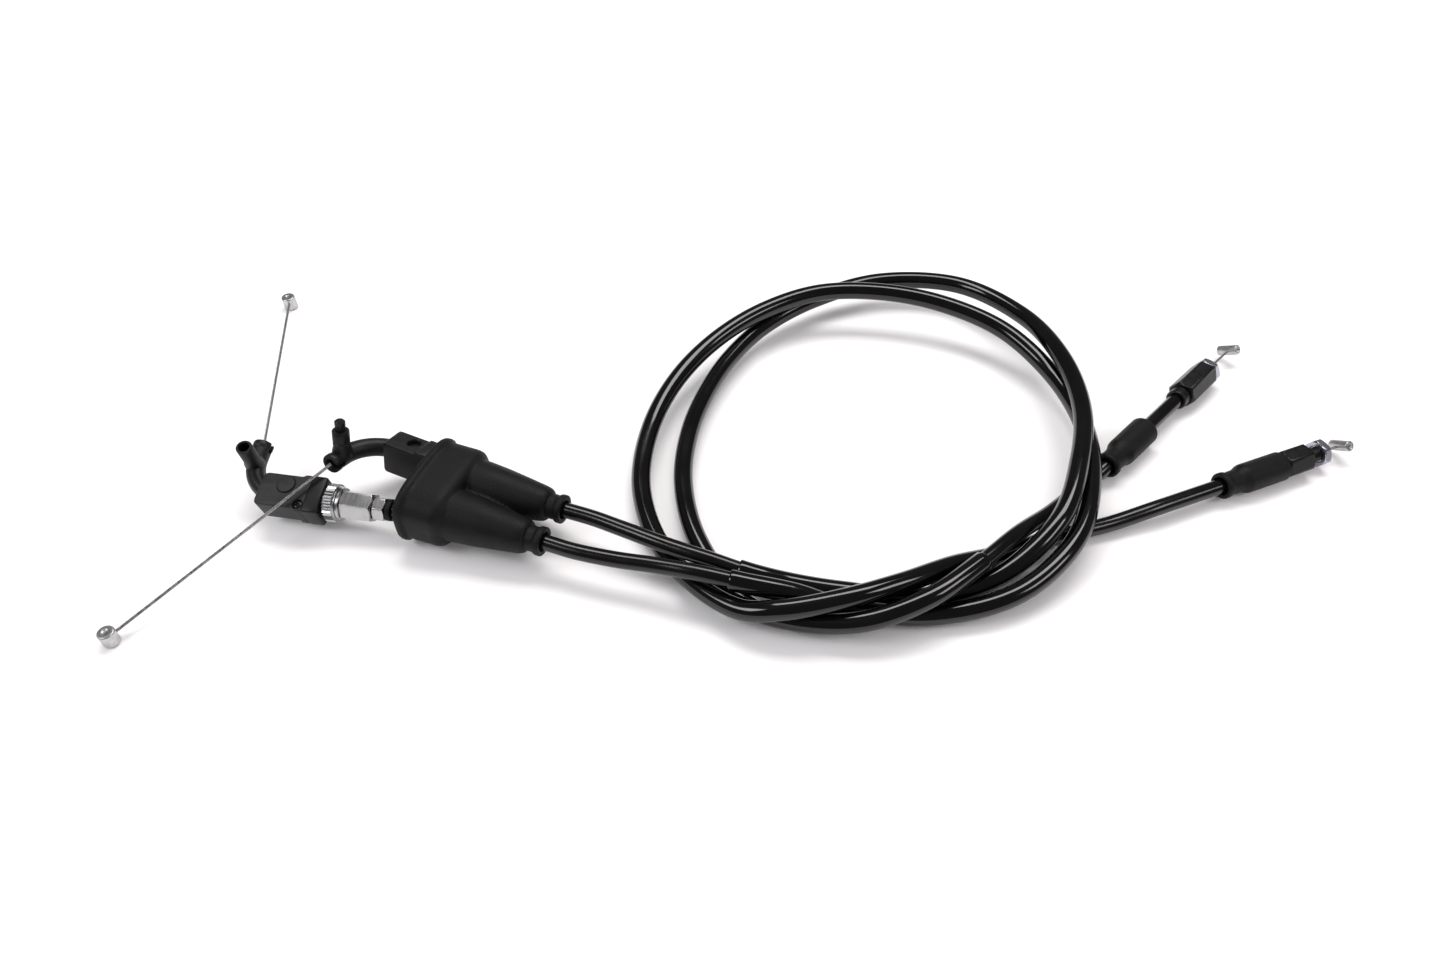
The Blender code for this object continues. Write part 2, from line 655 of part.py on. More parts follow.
def pull_guide(guide):
    elbow = Elbow(BLOCK_FRONT, PULL_BEND_INSET, STEM_START - SPIGOT_GAP, 1)
    hole_floor = PULL_PEG_HEIGHT - PULL_PEG_HOLE_DEPTH
    peg_stations = [
        (PEG_ROOT, 0), (PEG_ROOT, PULL_PEG_RADIUS), (PULL_PEG_HEIGHT - PEG_CHAMFER, PULL_PEG_RADIUS),
        (PULL_PEG_HEIGHT, PULL_PEG_RADIUS - PEG_CHAMFER), (PULL_PEG_HEIGHT, PULL_PEG_HOLE),
        (hole_floor, PULL_PEG_HOLE), (hole_floor, 0),
    ]
    room = elbow_guide("pull", elbow, peg_stations, PULL_PEG_ANGLE, PULL_PEG_LEAN, STEM_REACH, guide)
    block, stem_room = guide_block("pull_guide_block", BLOCK_FRONT, BLOCK_LENGTH, BLOCK_REAR_LENGTH, guide)
    plug_place = (BLOCK_FRONT + PLUG_PLACE[0], PLUG_PLACE[1])
    plug_top = PLUG_SEAT + PLUG_PROUD
    plug = [(FIT, 0), (FIT, PLUG_RADIUS), (plug_top - FIT, PLUG_RADIUS), (plug_top, PLUG_RADIUS - FIT),
            (plug_top, 0)]
    plug_seat = sunk_piece("pull_guide_plug", plug_place, PLUG_RADIUS, PLUG_SEAT, plug, GREY_PLASTIC, guide)
    screw_place = (BLOCK_FRONT + SCREW_PLACE[0], SCREW_PLACE[1])
    head_top = FIT + SCREW_HEAD_DEPTH
    screw = [(-SCREW_SHANK_LENGTH, 0), (-SCREW_SHANK_LENGTH, SCREW_SHANK_RADIUS), (FIT, SCREW_SHANK_RADIUS),
             (FIT, SCREW_HEAD_RADIUS), (head_top, SCREW_HEAD_RADIUS), (head_top, 0)]
    screw_seat = sunk_piece("pull_guide_screw", screw_place, SCREW_HEAD_RADIUS, SCREW_SEAT, screw,
                            BLACK_STEEL, guide)
    low = Vector((*screw_place, BLOCK_HALF_THICKNESS - SCREW_SEAT - SCREW_SHANK_LENGTH - FIT))
    high = Vector((*screw_place, BLOCK_HALF_THICKNESS))
    screw_room = cylinder("pull_screw_room", low, high, SCREW_SHANK_RADIUS + FIT, guide, sides=FINGER_SIDES)
    boolean(block, [room, stem_room, plug_seat, screw_seat, screw_room])
    turned("pull_guide_stem", [
        (STEM_START, BORE_RADIUS), (STEM_START, STEM_RADIUS), (STEM_REACH, STEM_RADIUS),
        (STEM_REACH, BORE_RADIUS),
    ], ZINC, guide)
    return elbow


def pull_adjuster(guide):
    bore = STEM_RADIUS + FIT
    hub = RING_FACE - LOCK_RING_HUB_WIDTH
    turned("pull_lock_ring", [
        (-RING_FACE, bore), (-RING_FACE, LOCK_RING_HUB), (-hub, LOCK_RING_HUB),
        (-hub, LOCK_RING_RADIUS - KNURL_DEPTH), (-hub + KNURL_DEPTH, LOCK_RING_RADIUS, "knurl"),
        (hub - KNURL_DEPTH, LOCK_RING_RADIUS, "knurl"), (hub, LOCK_RING_RADIUS - KNURL_DEPTH),
        (hub, ADJUSTER_WASHER), (RING_FACE, ADJUSTER_WASHER), (RING_FACE, bore),
    ], ZINC, guide, 2 * KNURL_RIDGES)
    washer_end = ADJUSTER_START + ADJUSTER_WASHER_WIDTH
    turned("pull_adjuster", [
        (ADJUSTER_START, bore), (ADJUSTER_START, ADJUSTER_WASHER), (washer_end, ADJUSTER_WASHER),
        (washer_end, ADJUSTER_FLAT, "hex"), (ADJUSTER_END - FITTING_EDGE, ADJUSTER_FLAT, "hex"),
        (ADJUSTER_END, ADJUSTER_FLAT - FITTING_EDGE, "hex"), (ADJUSTER_END, bore),
    ], ZINC, guide)
    nose = STEM_REACH + FERRULE_NOSE_GAP
    seat = FERRULE_START + FERRULE_FLOOR
    turned("pull_casing_ferrule", [
        (nose, BORE_RADIUS), (nose, STEM_RADIUS), (FERRULE_START, STEM_RADIUS),
        (FERRULE_START, FERRULE_FLAT, "hex"), (FERRULE_END, FERRULE_FLAT, "hex"),
        (FERRULE_END, CASING_FIT_RADIUS), (seat, CASING_FIT_RADIUS), (seat, BORE_RADIUS),
    ], ZINC, guide)
    turned("pull_seal_ring", [
        (SEAL_START, CASING_FIT_RADIUS), (SEAL_START, SEAL_RADIUS), (SEAL_END, SEAL_RADIUS),
        (SEAL_END, CASING_FIT_RADIUS),
    ], RUBBER, guide)


def return_guide(guide):
    elbow = Elbow(RETURN_FRONT, RETURN_BEND_INSET, RETURN_SPIGOT_START - SPIGOT_GAP, -1)
    peg_stations = [
        (PEG_ROOT, 0), (PEG_ROOT, RETURN_PEG_RADIUS), (RETURN_PEG_SHOULDER - PEG_CHAMFER, RETURN_PEG_RADIUS),
        (RETURN_PEG_SHOULDER, RETURN_PEG_RADIUS - PEG_CHAMFER), (RETURN_PEG_SHOULDER, RETURN_PEG_TIP),
        (RETURN_PEG_HEIGHT - PEG_CHAMFER, RETURN_PEG_TIP), (RETURN_PEG_HEIGHT, RETURN_PEG_TIP - PEG_CHAMFER),
        (RETURN_PEG_HEIGHT, 0),
    ]
    room = elbow_guide("return", elbow, peg_stations, RETURN_PEG_ANGLE, 0, RETURN_REAR, guide)
    block, stem_room = guide_block("return_guide_block", RETURN_FRONT, RETURN_BLOCK_LENGTH,
                                   RETURN_BLOCK_REAR_LENGTH, guide)
    on_edge = Matrix.Rotation(math.pi / 2, 4, "X")
    block.matrix_basis = Matrix.Translation((0, 0, -RETURN_BLOCK_DROP)) @ on_edge
    top = BLOCK_HALF_WIDTH - RETURN_BLOCK_DROP
    x = RETURN_FRONT + SOCKET_PLACE[0]
    low = Vector((x, SOCKET_PLACE[1], top - SOCKET_DEPTH))
    high = Vector((x, SOCKET_PLACE[1], top + SOCKET_DEPTH))
    socket = cylinder("return_block_socket", low, high, SOCKET_RADIUS, guide, sides=FINGER_SIDES)
    boolean(block, [room, stem_room, socket])
    turned("return_casing_ferrule", [
        (RETURN_SPIGOT_START, BORE_RADIUS), (RETURN_SPIGOT_START, STEM_RADIUS),
        (RETURN_BODY_START, STEM_RADIUS), (RETURN_BODY_START, RETURN_FERRULE_RADIUS),
        (RETURN_FERRULE_END, RETURN_FERRULE_RADIUS),
        (RETURN_FERRULE_END, CASING_FIT_RADIUS), (RETURN_CASING_SEAT, CASING_FIT_RADIUS),
        (RETURN_CASING_SEAT, BORE_RADIUS),
    ], ZINC, guide)
    return elbow


def loft(name, stations, look, parent):
    # Skins (x, half width, half height) stations with rounded rectangles
    shape = bmesh.new()
    rings = []
    for x, half_width, half_height in stations:
        ring = []
        for k in range(COLLAR_SIDES):
            angle = 2 * math.pi * k / COLLAR_SIDES
            y = math.copysign(abs(math.cos(angle)) ** BOOT_SQUARENESS, math.cos(angle))
            z = math.copysign(abs(math.sin(angle)) ** BOOT_SQUARENESS, math.sin(angle))
            ring.append(shape.verts.new((x, half_width * y, half_height * z)))
        rings.append(ring)
    skin(shape, rings, closed=False)
    shape.faces.new(rings[0])
    shape.faces.new(rings[-1])
    return place(name, mesh_of(name, shape), look, parent)


def double_boot(frame):
    mouth = -BOOT_LENGTH
    lip_end = mouth + LIP_WIDTH
    shoulder = mouth + COLLAR_LENGTH
    closed_end = shoulder + SHOULDER_LENGTH
    wide = COLLAR_HALF_WIDTH
    high = COLLAR_HALF_HEIGHT
    boot = loft("double_boot", [
        (mouth, wide + LIP_HEIGHT, high + LIP_HEIGHT), (lip_end, wide + LIP_HEIGHT, high + LIP_HEIGHT),
        (lip_end + LIP_HEIGHT, wide, high), (shoulder, wide, high),
        (closed_end, wide - SHOULDER_IN, high - SHOULDER_IN),
    ], RUBBER, frame)
    tip = -FINGER_TIP
    ridge = -RIDGE_WIDTH
    neck_bore = CASING_RADIUS + BOOT_PLAY
    fingers = []
    hollows = []
    for word, side in (("pull", -1), ("return", 1)):
        outer = turned(f"{word}_finger_form", [
            (shoulder, 0), (shoulder, FINGER_ROOT_RADIUS), (tip, FINGER_TIP_RADIUS),
            (tip + LIP_HEIGHT, NECK_RADIUS), (ridge - LIP_HEIGHT, NECK_RADIUS), (ridge, RIDGE_RADIUS),
            (0, RIDGE_RADIUS), (0, 0),
        ], None, frame, FINGER_SIDES)
        outer.location.y = side * BOOT_PITCH
        fingers.append(outer)
        inner = turned(f"{word}_finger_hollow", [
            (shoulder, 0), (shoulder, FINGER_ROOT_RADIUS - BOOT_WALL),
            (tip - BOOT_WALL, FINGER_TIP_RADIUS - BOOT_WALL), (tip, neck_bore), (RIDGE_WIDTH, neck_bore),
            (RIDGE_WIDTH, 0),
        ], None, frame, FINGER_SIDES)
        inner.location.y = side * BOOT_PITCH
        hollows.append(inner)
    hollows.append(loft("boot_hollow", [
        (mouth - LIP_WIDTH, wide - BOOT_WALL, high - BOOT_WALL),
        (shoulder, wide - BOOT_WALL, high - BOOT_WALL),
        (closed_end - BOOT_WALL, wide - BOOT_WALL - SHOULDER_IN, high - BOOT_WALL - SHOULDER_IN),
    ], None, frame))
    boolean(boot, fingers, "UNION")
    boolean(boot, hollows)


def carb_boot(name, front, frame):
    back = front - CARB_BOOT_LENGTH
    ridge = back + CARB_BOOT_RIDGE_WIDTH
    neck = back + CARB_BOOT_NECK_LENGTH
    body = neck + CARB_BOOT_SHOULDER
    neck_bore = CASING_RADIUS + BOOT_PLAY
    bore = CRIMP_RADIUS + FIT
    turned(name, [
        (back, neck_bore), (back, CARB_BOOT_RIDGE), (ridge, CARB_BOOT_RIDGE),
        (ridge + CARB_BOOT_LIP, CARB_BOOT_NECK), (neck, CARB_BOOT_NECK), (body, CARB_BOOT_RADIUS),
        (front - CARB_BOOT_LIP, CARB_BOOT_RADIUS),
        (front, CARB_BOOT_RADIUS - CARB_BOOT_LIP), (front, bore), (body, bore), (neck, neck_bore),
    ], RUBBER, frame)


def carb_fitting(side, hex_length, thread_length, nut_start, crimp_length, frame):
    crimp = -FIT - crimp_length
    floor = -FIT - CRIMP_FLOOR
    turned(f"{side}_carb_ferrule", [
        (crimp, CASING_FIT_RADIUS), (crimp, CRIMP_RADIUS), (-FIT, CRIMP_RADIUS), (-FIT, BORE_RADIUS),
        (floor, BORE_RADIUS), (floor, CASING_FIT_RADIUS),
    ], BLACK_STEEL, frame)
    thread = hex_length + thread_length
    turned(f"{side}_carb_fitting", [
        (0, BORE_RADIUS), (0, FITTING_FLAT - FITTING_EDGE, "hex"), (FITTING_EDGE, FITTING_FLAT, "hex"),
        (hex_length - FITTING_EDGE, FITTING_FLAT, "hex"), (hex_length, FITTING_FLAT - FITTING_EDGE, "hex"),
        (hex_length, THREAD_RADIUS), (thread - FITTING_EDGE, THREAD_RADIUS),
        (thread, THREAD_RADIUS - FITTING_EDGE), (thread, BORE_RADIUS),
    ], BLACK_STEEL, frame)
    nut_bore = THREAD_RADIUS + FIT
    nut_end = nut_start + NUT_WIDTH
    turned(f"{side}_lock_nut", [
        (nut_start, nut_bore), (nut_start, NUT_FLAT - FITTING_EDGE, "hex"),
        (nut_start + FITTING_EDGE, NUT_FLAT, "hex"), (nut_end - FITTING_EDGE, NUT_FLAT, "hex"),
        (nut_end, NUT_FLAT - FITTING_EDGE, "hex"), (nut_end, nut_bore),
    ], ZINC, frame, NUT_SIDES)


def nipple(name, centre, axis, radius, half, wire_from, parent):
    # A barrel on the wire's end, with the hole that the wire comes in by
    barrel = turned(name, [
        (-half, 0), (-half, radius - NIPPLE_EDGE), (-half + NIPPLE_EDGE, radius),
        (half - NIPPLE_EDGE, radius), (half, radius - NIPPLE_EDGE), (half, 0),
    ], ZINC, parent, FINGER_SIDES)
    turn = Vector((1, 0, 0)).rotation_difference(axis).to_matrix().to_4x4()
    barrel.matrix_basis = Matrix.Translation(centre) @ turn
    out = (wire_from - centre).normalized()
    bottom = centre - out * FIT
    top = centre + out * (half + radius)
    boolean(barrel, [cylinder(f"{name}_hole", bottom, top, WIRE_RADIUS + FIT, parent)])


def throttle_end(side, frame, elbow, centre, root):
    mouth = frame @ elbow.mouth()[0]
    along = (centre - mouth).normalized()
    tube(f"{side}_throttle_wire", [mouth + along * FIT, centre], WIRE_RADIUS, STRAND_STEEL, root)
    upright = Vector((0, 0, 1))
    nipple(f"{side}_throttle_nipple", centre, upright, THROTTLE_NIPPLE_RADIUS, THROTTLE_NIPPLE_HALF, mouth,
           root)


def carb_wire(side, reach, axis, frame, parent):
    start = Vector((-CARB_TAIL, 0, 0))
    centre = Vector((reach, 0, 0))
    tube(f"{side}_carb_wire", [start, centre], WIRE_RADIUS, STRAND_STEEL, parent)
    own_axis = frame.to_3x3().inverted() @ axis
    nipple(f"{side}_carb_nipple", centre, own_axis, CARB_NIPPLE_RADIUS, CARB_NIPPLE_HALF, start, parent)


def main():
    clear_scene()
    root = carrier("cable_pair", Matrix.Identity(4))
    pull_frame = carrier("pull_guide_axis", PULL_GUIDE)
    return_frame = carrier("return_guide_axis", RETURN_GUIDE)
    boot_frame = carrier("double_boot_axis", DOUBLE_BOOT)
    pull_end = carrier("pull_carb_axis", PULL_CARB)
    return_end = carrier("return_carb_axis", RETURN_CARB)

    pull = pull_route()
    back = return_route()
    report_gaps(pull, back)
    pull_wire = PULL_GUIDE @ Vector((STEM_REACH + FIT, 0, 0))
    return_wire = RETURN_GUIDE @ Vector((RETURN_REAR + FIT, 0, 0))
    cable("pull", pull, PULL_SLEEVE, pull_wire, PULL_CARB, root)
    cable("return", back, RETURN_SLEEVE, return_wire, RETURN_CARB, root)

    pull_elbow = pull_guide(pull_frame)
    pull_adjuster(pull_frame)
    return_elbow = return_guide(return_frame)
    throttle_end("pull", PULL_GUIDE, pull_elbow, PULL_NIPPLE, root)
    throttle_end("return", RETURN_GUIDE, return_elbow, RETURN_NIPPLE, root)
    double_boot(boot_frame)

    carb_fitting("pull", PULL_HEX_LENGTH, PULL_THREAD_LENGTH, PULL_HEX_LENGTH + PULL_NUT_PLACE,
                 PULL_CRIMP_LENGTH, pull_end)
    carb_fitting("return", RETURN_HEX_LENGTH, RETURN_THREAD_LENGTH, RETURN_HEX_LENGTH + FIT,
                 RETURN_CRIMP_LENGTH, return_end)
    carb_boot("pull_carb_boot", -FIT, pull_end)
    carb_boot("return_carb_boot", -RETURN_BOOT_BACK, return_end)
    carb_wire("pull", PULL_CARB_REACH, PULL_CARB_NIPPLE_AXIS, PULL_CARB, pull_end)
    carb_wire("return", RETURN_CARB_REACH, RETURN_CARB_NIPPLE_AXIS, RETURN_CARB, return_end)


main()
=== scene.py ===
import math

import bmesh
import bpy
import numpy as np
from mathutils import Euler, Matrix, Vector


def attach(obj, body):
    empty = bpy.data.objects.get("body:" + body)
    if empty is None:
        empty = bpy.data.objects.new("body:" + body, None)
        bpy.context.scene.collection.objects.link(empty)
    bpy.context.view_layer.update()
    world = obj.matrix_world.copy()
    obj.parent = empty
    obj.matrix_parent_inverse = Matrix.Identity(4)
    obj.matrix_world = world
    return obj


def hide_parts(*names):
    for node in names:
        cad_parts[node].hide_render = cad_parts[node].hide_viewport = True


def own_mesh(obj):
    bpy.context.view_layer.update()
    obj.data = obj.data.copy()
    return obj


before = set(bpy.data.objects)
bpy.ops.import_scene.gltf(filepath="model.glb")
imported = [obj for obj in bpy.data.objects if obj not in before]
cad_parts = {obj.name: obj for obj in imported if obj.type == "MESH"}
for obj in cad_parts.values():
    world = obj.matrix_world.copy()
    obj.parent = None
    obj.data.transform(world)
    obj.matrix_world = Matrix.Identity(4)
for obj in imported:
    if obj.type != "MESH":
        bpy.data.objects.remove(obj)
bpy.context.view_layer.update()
mm = 0.001
print("frame loaded with", len(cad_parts), "solids")


def axes(place, heading, roll=0.0, pitch=0.0):
    turn = Euler((math.radians(roll), math.radians(pitch), math.radians(heading)))
    return Matrix.Translation(Vector(place) * mm) @ turn.to_matrix().to_4x4()


# the lines that the hardware sits on, local X running from the grip end to the cable
pullGuide = axes((-164.6, -39.7, 11.5), -9.5, roll=14)
returnGuide = axes((-144.6, -16.5, 16.0), -23.5, roll=-14, pitch=2.5)
bootLine = axes((-80.4, -52.3, 13.0), -20.5)
pullCarb = axes((202.0, -15.1, 6.0), 21.9)
returnCarb = axes((175.0, 26.4, 6.0), 44.7)


# small shader node makers
def newGroup(name, inputs, outputs):
    group = bpy.data.node_groups.new(name, "ShaderNodeTree")
    for label, kind, value in inputs:
        socket = group.interface.new_socket(name=label, in_out="INPUT", socket_type=kind)
        socket.default_value = value
    for label in outputs:
        group.interface.new_socket(name=label, in_out="OUTPUT", socket_type="NodeSocketFloat")
    return group, group.nodes.new("NodeGroupInput"), group.nodes.new("NodeGroupOutput")


def noiseNode(tree, vector, scale, detail, roughness=0.55):
    noise = tree.nodes.new("ShaderNodeTexNoise")
    noise.inputs["Detail"].default_value = detail
    noise.inputs["Roughness"].default_value = roughness
    tree.links.new(vector, noise.inputs["Vector"])
    if isinstance(scale, (int, float)):
        noise.inputs["Scale"].default_value = scale
    else:
        tree.links.new(scale, noise.inputs["Scale"])
    return noise.outputs["Fac"]


def mathNode(tree, operation, *values):
    node = tree.nodes.new("ShaderNodeMath")
    node.operation = operation
    for socket, value in zip(node.inputs, values):
        if isinstance(value, (int, float)):
            socket.default_value = value
        else:
            tree.links.new(value, socket)
    return node.outputs[0]


def rangeNode(tree, value, fromLow, fromHigh, toLow, toHigh):
    node = tree.nodes.new("ShaderNodeMapRange")
    limits = {"From Min": fromLow, "From Max": fromHigh, "To Min": toLow, "To Max": toHigh}
    for label, number in limits.items():
        node.inputs[label].default_value = number
    tree.links.new(value, node.inputs["Value"])
    return node.outputs["Result"]


# camera, floor and light
studio = {
    "cameraPlace": (-19.0, -300.3, 302.8),
    "cameraAim": (-19.0, -18.0, 0.0),
    "lens": 25.91,
    "sensor": 36.0,
    "nearest": 0.01,
    "floorHalf": 4.0,
    "floorColour": (0.93, 0.915, 0.92),
    "floorRoughness": 0.7,
    "floorSpecular": 0.2,
    "skyColour": (1.0, 0.99, 1.0),
    # strength, and strength as seen in reflections
    "sky": (0.60, 0.12),
    # place, aim, width, depth (m), power (W), colour
    "lights": [
        ((0.05, 0.42, 0.95), (0.02, 0.0, 0.0), 0.95, 0.34, 8.0, (1.0, 0.985, 0.97)),
        ((-0.75, -0.25, 0.75), (-0.10, 0.0, 0.0), 0.40, 0.30, 3.0, (0.97, 0.98, 1.0)),
        ((0.80, -0.30, 0.70), (0.10, 0.0, 0.0), 0.36, 0.26, 2.0, (1.0, 0.96, 0.97)),
    ],
}


def lookAt(thing, place, aim):
    thing.location = place
    thing.rotation_euler = (Vector(aim) - Vector(place)).to_track_quat("-Z", "Y").to_euler()


def setStudio():
    scene = bpy.context.scene
    scene.view_settings.view_transform = "Standard"
    lens = bpy.data.cameras.new("photoCamera")
    lens.sensor_fit = "HORIZONTAL"
    lens.sensor_width = studio["sensor"]
    lens.lens = studio["lens"]
    lens.clip_start = studio["nearest"]
    camera = bpy.data.objects.new("photoCamera", lens)
    scene.collection.objects.link(camera)
    lookAt(camera, Vector(studio["cameraPlace"]) * mm, Vector(studio["cameraAim"]) * mm)
    scene.camera = camera

    sky = bpy.data.worlds.new("softSky")
    sky.use_nodes = True
    background = sky.node_tree.nodes["Background"]
    background.inputs["Color"].default_value = (*studio["skyColour"], 1.0)
    rays = sky.node_tree.nodes.new("ShaderNodeLightPath")
    strength = rangeNode(sky.node_tree, rays.outputs["Is Glossy Ray"], 0.0, 1.0, *studio["sky"])
    sky.node_tree.links.new(strength, background.inputs["Strength"])
    scene.world = sky

    for k, (place, aim, width, depth, power, colour) in enumerate(studio["lights"]):
        lamp = bpy.data.lights.new(f"softbox{k}", "AREA")
        lamp.shape = "RECTANGLE"
        lamp.size = width
        lamp.size_y = depth
        lamp.energy = power
        lamp.color = colour
        holder = bpy.data.objects.new(f"softbox{k}", lamp)
        scene.collection.objects.link(holder)
        lookAt(holder, place, aim)

    half = studio["floorHalf"]
    sheet = bpy.data.meshes.new("studioFloor")
    corners = [(-half, -half, 0), (half, -half, 0), (half, half, 0), (-half, half, 0)]
    sheet.from_pydata(corners, [], [(0, 1, 2, 3)])
    floor = bpy.data.objects.new("studioFloor", sheet)
    scene.collection.objects.link(floor)
    paper = bpy.data.materials.new("palePaper")
    paper.use_nodes = True
    shader = paper.node_tree.nodes["Principled BSDF"]
    shader.inputs["Base Color"].default_value = (*studio["floorColour"], 1.0)
    shader.inputs["Roughness"].default_value = studio["floorRoughness"]
    shader.inputs["Specular IOR Level"].default_value = studio["floorSpecular"]
    sheet.materials.append(paper)


setStudio()
print("camera, lights and floor set")


# noise that the finishes share: its detail, the band of it that shows, and shares in a mix
noiseLook = {
    "grainDetail": 3.0,
    "cellShare": 0.6,
    "patchDetail": 4.0,
    "patchRoughness": 0.6,
    "patchBand": (0.35, 0.68),
    "lineDetail": 2.0,
    "lineBand": (0.58, 0.74),
    "ringDetail": 3.0,
    "ringShare": 0.6,
    "cloudDetail": 4.0,
    "cloudBand": (0.3, 0.7),
    "cloudShare": 0.4,
    "metalBand": (0.35, 0.68),
    "roughBand": (0.3, 0.7),
    "wornRoughness": 0.18,
}


def scaledVector(group, vector, factors):
    # the vector with some of its axes multiplied
    parts = group.nodes.new("ShaderNodeSeparateXYZ")
    again = group.nodes.new("ShaderNodeCombineXYZ")
    group.links.new(vector, parts.inputs[0])
    for letter in "XYZ":
        part = parts.outputs[letter]
        if letter in factors:
            part = mathNode(group, "MULTIPLY", part, factors[letter])
        group.links.new(part, again.inputs[letter])
    return again.outputs[0]


# shader groups that several finishes share
def mouldGrainGroup():
    # pebbled skin of moulded rubber and nylon, and the broad patches where it was handled
    group, entry, out = newGroup(
        "mouldGrain",
        [("Vector", "NodeSocketVector", (0, 0, 0)), ("Grain Scale", "NodeSocketFloat", 1500.0),
         ("Patch Scale", "NodeSocketFloat", 60.0)],
        ["Grain", "Patch"],
    )
    vector = entry.outputs["Vector"]
    grainScale = entry.outputs["Grain Scale"]
    cells = group.nodes.new("ShaderNodeTexVoronoi")
    cells.feature = "SMOOTH_F1"
    group.links.new(vector, cells.inputs["Vector"])
    group.links.new(grainScale, cells.inputs["Scale"])
    fine = noiseNode(group, vector, grainScale, noiseLook["grainDetail"])
    both = mathNode(group, "MULTIPLY_ADD", cells.outputs["Distance"], noiseLook["cellShare"], fine)
    patch = noiseNode(group, vector, entry.outputs["Patch Scale"], noiseLook["patchDetail"],
                      noiseLook["patchRoughness"])
    group.links.new(both, out.inputs["Grain"])
    group.links.new(patch, out.inputs["Patch"])
    return group


def scuffGroup():
    # thin rubbed lines, stretched along the first local axis
    group, entry, out = newGroup(
        "rubbedLines",
        [("Vector", "NodeSocketVector", (0, 0, 0)), ("Line Scale", "NodeSocketFloat", 900.0),
         ("Stretch", "NodeSocketFloat", 0.05), ("Amount", "NodeSocketFloat", 0.5)],
        ["Lines"],
    )
    stretched = scaledVector(group, entry.outputs["Vector"], {"X": entry.outputs["Stretch"]})
    lines = noiseNode(group, stretched, entry.outputs["Line Scale"], noiseLook["lineDetail"])
    cut = rangeNode(group, lines, *noiseLook["lineBand"], 0.0, 1.0)
    group.links.new(mathNode(group, "MULTIPLY", cut, entry.outputs["Amount"]), out.inputs["Lines"])
    return group


def turnMarkGroup():
    # fine rings left by a lathe: quick change along local X, slow change round it
    group, entry, out = newGroup(
        "turnMarks",
        [("Vector", "NodeSocketVector", (0, 0, 0)), ("Ring Scale", "NodeSocketFloat", 2500.0),
         ("Round Scale", "NodeSocketFloat", 90.0)],
        ["Marks", "Cloud"],
    )
    vector = entry.outputs["Vector"]
    roundScale = entry.outputs["Round Scale"]
    ringed = scaledVector(group, vector, {"X": entry.outputs["Ring Scale"], "Y": roundScale, "Z": roundScale})
    group.links.new(noiseNode(group, ringed, 1.0, noiseLook["ringDetail"]), out.inputs["Marks"])
    cloud = noiseNode(group, vector, roundScale, noiseLook["cloudDetail"])
    group.links.new(cloud, out.inputs["Cloud"])
    return group


mouldGrain = mouldGrainGroup()
rubbedLines = scuffGroup()
turnMarks = turnMarkGroup()


def startFinish(name, settings, line=None, fromUv=False):
    # a material with its coordinates; a line's own axes are used where the marks follow a piece
    material = bpy.data.materials.new(name)
    material.use_nodes = True
    tree = material.node_tree
    shader = tree.nodes["Principled BSDF"]
    shader.inputs["Metallic"].default_value = settings["metallic"]
    shader.inputs["Specular IOR Level"].default_value = settings.get("specular", 0.5)
    coordinates = tree.nodes.new("ShaderNodeTexCoord")
    vector = coordinates.outputs["UV" if fromUv else "Object"]
    if line is not None:
        mapping = tree.nodes.new("ShaderNodeMapping")
        mapping.vector_type = "TEXTURE"
        mapping.inputs["Location"].default_value = line.translation
        mapping.inputs["Rotation"].default_value = line.to_euler()
        tree.links.new(vector, mapping.inputs["Vector"])
        vector = mapping.outputs["Vector"]
    return material, tree, shader, vector


def useGroup(tree, group, vector, **values):
    node = tree.nodes.new("ShaderNodeGroup")
    node.node_tree = group
    tree.links.new(vector, node.inputs["Vector"])
    for label, number in values.items():
        node.inputs[label.replace("_", " ")].default_value = number
    return node


def mixColour(tree, factor, first, second):
    node = tree.nodes.new("ShaderNodeMix")
    node.data_type = "RGBA"
    tree.links.new(factor, node.inputs["Factor"])
    for socket, value in ((node.inputs["A"], first), (node.inputs["B"], second)):
        if isinstance(value, tuple):
            socket.default_value = (*value, 1.0)
        else:
            tree.links.new(value, socket)
    return node.outputs["Result"]


def bumpFrom(tree, shader, height, strength, distance):
    bump = tree.nodes.new("ShaderNodeBump")
    bump.inputs["Strength"].default_value = strength
    bump.inputs["Distance"].default_value = distance
    tree.links.new(height, bump.inputs["Height"])
    tree.links.new(bump.outputs["Normal"], shader.inputs["Normal"])


def skinColour(tree, shader, vector, settings):
    # patchy colour with paler rubbed lines over it, and the roughness of the patches
    grain = useGroup(tree, mouldGrain, vector, Grain_Scale=settings["grainScale"],
                     Patch_Scale=settings["patchScale"])
    rubbed = useGroup(tree, rubbedLines, vector, Line_Scale=settings["lineScale"],
                      Stretch=settings["stretch"], Amount=settings["rubbed"])
    patch = rangeNode(tree, grain.outputs["Patch"], *noiseLook["patchBand"], 0.0, 1.0)
    colour = mixColour(tree, patch, settings["dark"], settings["light"])
    colour = mixColour(tree, rubbed.outputs["Lines"], colour, settings["scuff"])
    tree.links.new(colour, shader.inputs["Base Color"])
    rough = rangeNode(tree, grain.outputs["Patch"], *noiseLook["roughBand"], *settings["roughness"])
    return grain, rubbed, rough


def mouldedFinish(name, settings):
    material, tree, shader, vector = startFinish(name, settings)
    grain, _, rough = skinColour(tree, shader, vector, settings)
    tree.links.new(rough, shader.inputs["Roughness"])
    bumpFrom(tree, shader, grain.outputs["Grain"], settings["bump"], settings["depth"])
    return material


